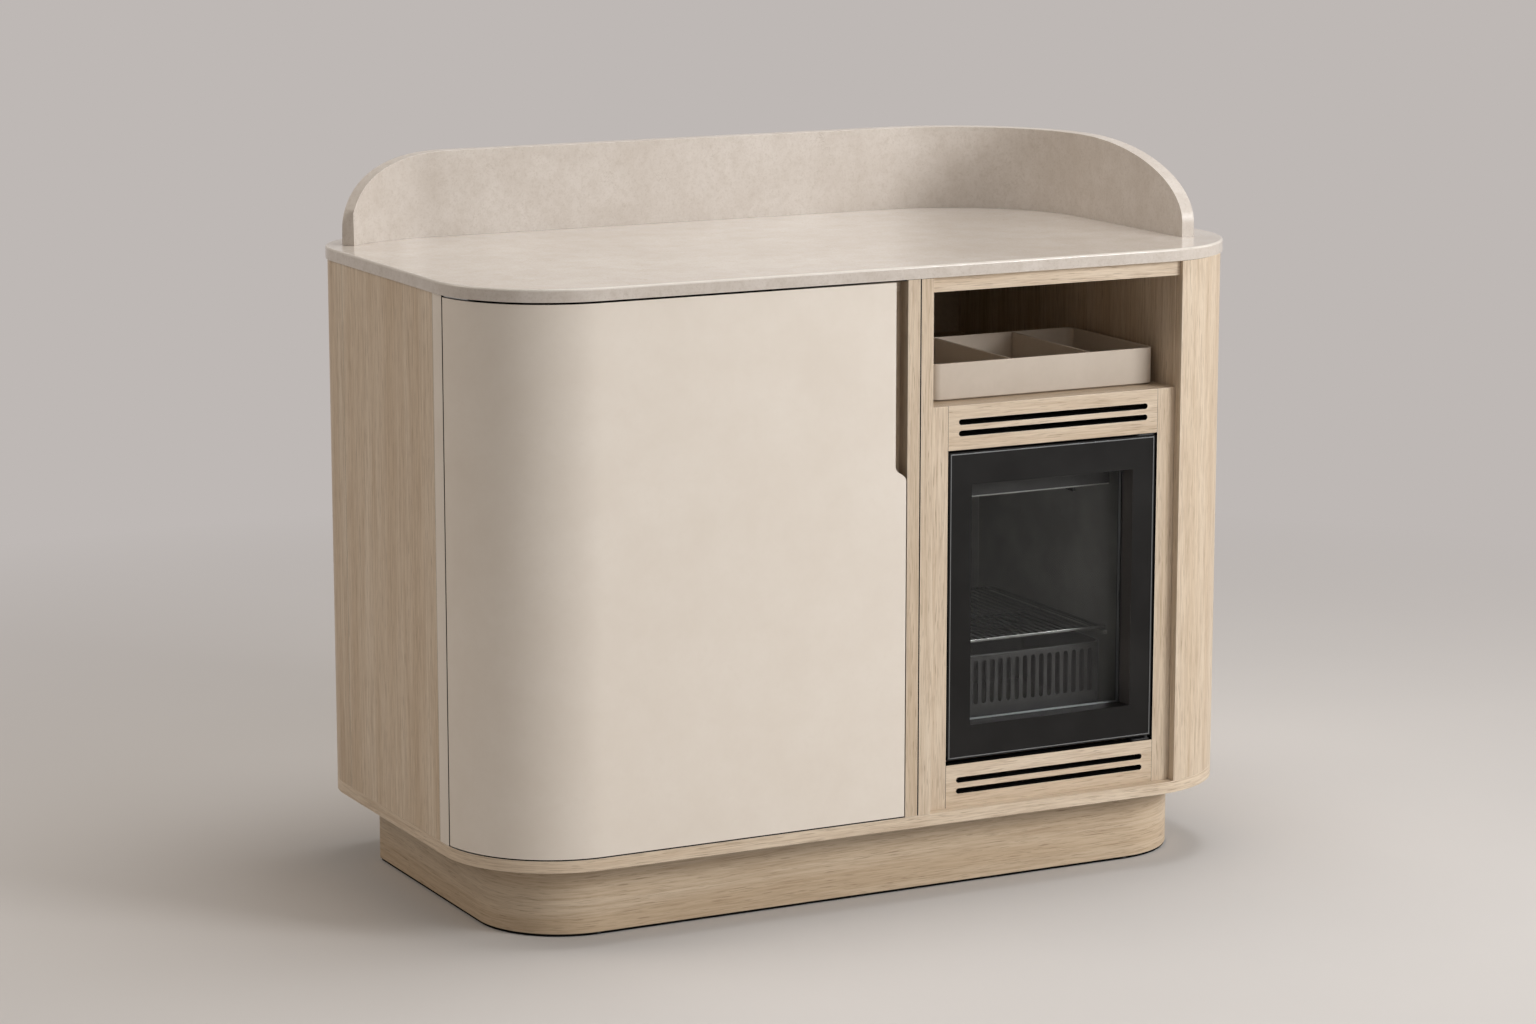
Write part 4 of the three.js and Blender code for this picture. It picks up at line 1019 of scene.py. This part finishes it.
def makeCoolingUnit(settings):
    low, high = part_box("condenser_coil")
    caseLow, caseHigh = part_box("fridge_casing")
    tankLow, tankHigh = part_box("absorber_tank")
    body = bodyOf("condenser_coil")
    tube = settings["tube"] * mm
    pitch = settings["pitch"] * mm
    bend = pitch / 2
    pipeBend = settings["pipeBend"] * mm
    seat = settings["seat"] * mm
    middle = (caseLow.x + caseHigh.x) / 2
    half = settings["width"] * mm / 2 - bend
    start = middle - half
    y = (low.y + high.y) / 2
    tankY = (tankLow.y + tankHigh.y) / 2
    firstRun = (low.z + high.z - (settings["runs"] - 1) * pitch) / 2
    lastRun = firstRun + (settings["runs"] - 1) * pitch
    shape = newShape()
    first = startTube(shape, (start - pipeBend, tankY, tankHigh.z - seat), (0, 0, 1), tube)
    ring = drawStraight(shape, first, (0, 0, seat))
    ring = drawStraight(shape, ring, (0, y - tankY, firstRun - pipeBend - tankHigh.z))
    ring = drawBend(shape, ring, (start, y, firstRun - pipeBend), (0, 1, 0), 90)
    for run in range(settings["runs"]):
        side = 1 if run % 2 == 0 else -1
        ring = drawStraight(shape, ring, (side * 2 * half, 0, 0))
        if run < settings["runs"] - 1:
            centre = (middle + side * half, y, firstRun + run * pitch + bend)
            ring = drawBend(shape, ring, centre, (0, 1, 0), -side * 180, settings["turnSteps"])
    ring = drawBend(shape, ring, (start, y, lastRun + pipeBend), (0, 1, 0), 90)
    ring = drawStraight(shape, ring, (0, 0, pipeBend))
    ring = drawBend(shape, ring, (start - pipeBend, y - pipeBend, lastRun + 2 * pipeBend), (1, 0, 0), 90)
    closeTube(shape, first, ring)
    keepPiece(shape, "condenser_tube", "casing", body, ["condenser_coil"])
    wirePitch = settings["wirePitch"] * mm
    reach = settings["wireReach"] * mm
    back = y + tube + settings["wireStandoff"] * mm
    count = int(2 * half / wirePitch) + 1
    shape = newShape()
    for index in range(count):
        x = middle + (index - (count - 1) / 2) * wirePitch
        addRod(shape, (x, back, firstRun - reach), (x, back, lastRun + reach), settings["wire"] * mm)
    keepPiece(shape, "condenser_wires", "casing", body)


makeCoolingUnit(coolingSettings)

# Pan-head screws with a sunk socket: on the back panel, the cleats and the catch
screwSettings = {
    "radius": 3.6,
    "height": 2.2,
    "sides": 24,
    "taper": 0.94,
    "domeInset": 0.18,  # share of the radius
    "domeRise": 0.16,  # share of the height
    "socket": 1.7,
    "socketDraft": 0.1,
    "sink": 1.4,
    "panelInset": 16.0,
    "panelAcross": 6,
    "panelUp": 5,
    "cleatShares": (0.12, 0.5, 0.88),
    "catchShares": (0.2, 0.8),
    "catchHeight": 1.4,
}


def addScrew(shape, place, outward, settings, height):
    outward = Vector(outward)
    radius = settings["radius"] * mm
    height = height * mm
    turn = outward.to_track_quat("Z", "Y").to_matrix().to_4x4()
    move = Matrix.Translation(Vector(place) + outward * height / 2) @ turn
    corners = bmesh.ops.create_cone(shape, cap_ends=True, segments=settings["sides"], radius1=radius,
                                    radius2=radius * settings["taper"], depth=height, matrix=move)["verts"]
    faces = {face for corner in corners for face in corner.link_faces}
    top = max(faces, key=lambda face: (face.calc_center_median() - Vector(place)).dot(outward))
    dome = radius * settings["domeInset"]
    insets = (
        (dome, height * settings["domeRise"]),
        (radius - dome - settings["socket"] * mm, 0.0),
        (settings["socketDraft"] * mm, -settings["sink"] * mm),
    )
    for thickness, depth in insets:
        bmesh.ops.inset_individual(shape, faces=[top], thickness=thickness, depth=depth)


def spaced(start, end, count):
    return [start + index / (count - 1) * (end - start) for index in range(count)]


def makeScrews(settings):
    shape = newShape()
    low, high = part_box("back_panel")
    inset = settings["panelInset"] * mm
    across = spaced(low.x + inset, high.x - inset, settings["panelAcross"])
    up = spaced(low.z + inset, high.z - inset, settings["panelUp"])
    panelPlaces = [(x, z) for x in across for z in (up[0], up[-1])]
    panelPlaces += [(x, z) for z in up[1:-1] for x in (across[0], across[-1])]
    for x, z in panelPlaces:
        addScrew(shape, (x, high.y, z), (0, 1, 0), settings, settings["height"])
    for node, outward in (("shelf_cleat_left", 1), ("shelf_cleat_right", -1)):
        low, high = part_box(node)
        x = high.x if outward > 0 else low.x
        z = (low.z + high.z) / 2
        for share in settings["cleatShares"]:
            y = low.y + share * (high.y - low.y)
            addScrew(shape, (x, y, z), (outward, 0, 0), settings, settings["height"])
    low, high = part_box("magnetic_catch")
    y = (low.y + high.y) / 2
    for share in settings["catchShares"]:
        x = low.x + share * (high.x - low.x)
        addScrew(shape, (x, y, low.z), (0, 0, -1), settings, settings["catchHeight"])
    keepPiece(shape, "socket_screws", "steel", "cabinet")


makeScrews(screwSettings)

# Black seal strips that put painted shade round the cupboard door's opening, where they darken its gaps, and
# under the plinth
shadeSealSettings = {
    "foot": {"setback": 1.4, "width": 6.0, "height": 1.2},
    "head": {"setback": 4.0, "width": 6.0, "height": 2.4},
    "cornerSweep": 60.0,
    "cornerSteps": 16,
    "side": {"setback": 4.0, "width": 18.0, "height": 0.7, "top": 598.0},  # ends under the finger notch
    "plinth": {"setback": 1.5, "width": 5.0, "floorGap": 0.3, "steps": 20},
    "ease": 0.2,
}


# The end of a flat strip that starts along X, or along Y when turned
def startStrip(shape, middle, width, height, turned=0):
    section = Matrix.Rotation(math.radians(turned), 4, "Z") @ Matrix.Rotation(math.pi / 2, 4, "Y")
    place = Matrix.Translation(middle) @ section @ Matrix.Diagonal((height, width, 1.0, 1.0))
    return bmesh.ops.create_grid(shape, x_segments=1, y_segments=1, size=0.5, matrix=place)["verts"]


# Along the front from the right, and round the left corner
def addDoorShadeSeal(shape, settings, strip, low):
    corner = roundBoards["base_board"]["frontRadius"] * mm
    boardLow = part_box("base_board")[0]
    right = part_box("divider_left")[0].x
    width = strip["width"] * mm
    height = strip["height"] * mm
    turn = (boardLow.x + corner, boardLow.y + corner, 0)
    middle = (right, boardLow.y + strip["setback"] * mm + width / 2, low + height / 2)
    ring = startStrip(shape, middle, width, height)
    ring = drawStraight(shape, ring, (turn[0] - right, 0, 0))
    ring = drawBend(shape, ring, turn, (0, 0, 1), -settings["cornerSweep"], settings["cornerSteps"])
    bmesh.ops.contextual_create(shape, geom=ringEdges(ring))


# Along the left side of the plinth from the rear, round its front and back along the right side
def addPlinthShadeSeal(shape, strip):
    low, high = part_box("plinth")
    corner = roundBoards["plinth"]["frontRadius"] * mm
    gap = strip["floorGap"] * mm
    width = strip["width"] * mm
    inset = strip["setback"] * mm + width / 2
    rear = high.y - inset
    ring = startStrip(shape, (low.x + inset, rear, (low.z + gap) / 2), width, low.z - gap, turned=90)
    ring = drawStraight(shape, ring, (0, low.y + corner - rear, 0))
    ring = drawBend(shape, ring, (low.x + corner, low.y + corner, 0), (0, 0, 1), 90, strip["steps"])
    ring = drawStraight(shape, ring, (high.x - low.x - 2 * corner, 0, 0))
    ring = drawBend(shape, ring, (high.x - corner, low.y + corner, 0), (0, 0, 1), 90, strip["steps"])
    ring = drawStraight(shape, ring, (0, rear - low.y - corner, 0))
    bmesh.ops.contextual_create(shape, geom=ringEdges(ring))


def makeShadeSeals(settings):
    head = settings["head"]
    side = settings["side"]
    boardLow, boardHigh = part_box("base_board")
    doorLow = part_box("cupboard_door")[0]
    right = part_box("divider_left")[0].x
    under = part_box("worktop")[0].z
    shape = newShape()
    addDoorShadeSeal(shape, settings, settings["foot"], boardHigh.z)
    addDoorShadeSeal(shape, settings, head, under - head["height"] * mm)
    addPlinthShadeSeal(shape, settings["plinth"])
    bmesh.ops.recalc_face_normals(shape, faces=shape.faces)
    easeEdges(shape, sharpEdges(shape), settings["ease"] * mm, segments=2)
    front = boardLow.y + side["setback"] * mm
    addBlock(shape, (right - side["height"] * mm, front, doorLow.z),
             (right, front + side["width"] * mm, side["top"] * mm), settings["ease"] * mm)
    keepPiece(shape, "shade_seals", "slotBlack", "cabinet")


makeShadeSeals(shadeSealSettings)
print("fine parts made")


# Stage: a plain pale floor that runs out into a backdrop of one tone
stageSettings = {
    "floorRadius": 60.0,
    "floorSides": 128,
    "floorColour": screenColour(213, 209, 206),
    "floorWorn": screenColour(210, 206, 203),
    "floorPattern": (3.0, 3.0),
    "floorRoughness": 0.85,
    "floorSpecular": 0.2,
    "backdrop": screenColour(190, 184, 181),
    "fade": (1.1, 2.8),  # metres from the middle of the cabinet
    "worldColour": (1.0, 0.94, 0.87, 1.0),
    "worldStrength": 0.26,
}


# Rays that look at the background, straight or through gloss and glass
def lookingRays(tree):
    path = addNode(tree, "LightPath", {}).outputs
    seen = sums(tree, "MAXIMUM", path["Is Camera Ray"], path["Is Glossy Ray"])
    return sums(tree, "MAXIMUM", seen, path["Is Transmission Ray"])


def makeFloor(settings):
    shape = bmesh.new()
    bmesh.ops.create_circle(shape, cap_ends=True, segments=settings["floorSides"],
                            radius=settings["floorRadius"])
    mesh = bpy.data.meshes.new("studioFloor")
    shape.to_mesh(mesh)
    shape.free()
    floor = bpy.data.objects.new("studioFloor", mesh)
    bpy.context.scene.collection.objects.link(floor)
    finish, tree, shader = newFinish("studioFloor")
    place = addNode(tree, "TexCoord", {}).outputs["Object"]
    paper = noise(tree, place, *settings["floorPattern"])
    ground = mixColour(tree, paper, settings["floorWorn"], settings["floorColour"])
    setLook(tree, shader, ground, settings["floorRoughness"], settings["floorSpecular"])
    glow = addNode(tree, "Emission", {"Color": settings["backdrop"], "Strength": 1.0})
    away = addNode(tree, "VectorMath", {0: place}, operation="LENGTH").outputs["Value"]
    seen = sums(tree, "MULTIPLY", restate(tree, away, *settings["fade"]), lookingRays(tree))
    showBoth(tree, seen, shader, glow)
    mesh.materials.append(finish)


def makeWorld(settings):
    world = bpy.data.worlds.new("studio")
    bpy.context.scene.world = world
    world.use_nodes = True
    tree = world.node_tree
    light = tree.nodes["Background"]
    setSockets(tree, light, {"Color": settings["worldColour"], "Strength": settings["worldStrength"]})
    seen = addNode(tree, "Background", {"Color": settings["backdrop"], "Strength": 1.0})
    showBoth(tree, lookingRays(tree), light, seen, "World Output")


# Lamps: a soft key at the front right, lights beside it, in front and overhead, a warm one at the left rear
lampSettings = {
    "softKey": {"place": (2.5, -3.5, 2.05), "aim": (0.0, 0.0, 0.5), "size": 1.3, "watts": 99},
    "rightSide": {"place": (4.5, -0.8, 1.8), "aim": (0.3, 0.0, 0.5), "size": 2.0, "watts": 32},
    "front": {"place": (1.3, -5.0, 2.2), "aim": (0.2, 0.0, 0.5), "size": 2.0, "watts": 28,
              "colour": (1.0, 0.99, 0.97)},
    "overhead": {"place": (0.5, -0.1, 3.6), "aim": (0.3, 0.0, 0.9), "size": 1.8, "watts": 46},
    "leftFill": {"place": (-3.3, 1.8, 3.2), "aim": (0.0, 0.0, 0.5), "size": 2.4, "watts": 38,
                 "colour": (1.0, 0.88, 0.76)},
}


def makeLamp(name, settings):
    lamp = bpy.data.lights.new(name, "AREA")
    lamp.energy = settings["watts"]
    lamp.color = settings.get("colour", (1.0, 1.0, 1.0))
    lamp.size = settings["size"]
    stand = bpy.data.objects.new(name, lamp)
    stand.location = settings["place"]
    aim = Vector(settings["aim"]) - Vector(settings["place"])
    stand.rotation_euler = aim.to_track_quat("-Z", "Y").to_euler()
    bpy.context.scene.collection.objects.link(stand)


makeFloor(stageSettings)
makeWorld(stageSettings)
for name, settings in lampSettings.items():
    makeLamp(name, settings)
print("stage and lamps set")


print("pieces:", pieceCount["made"])
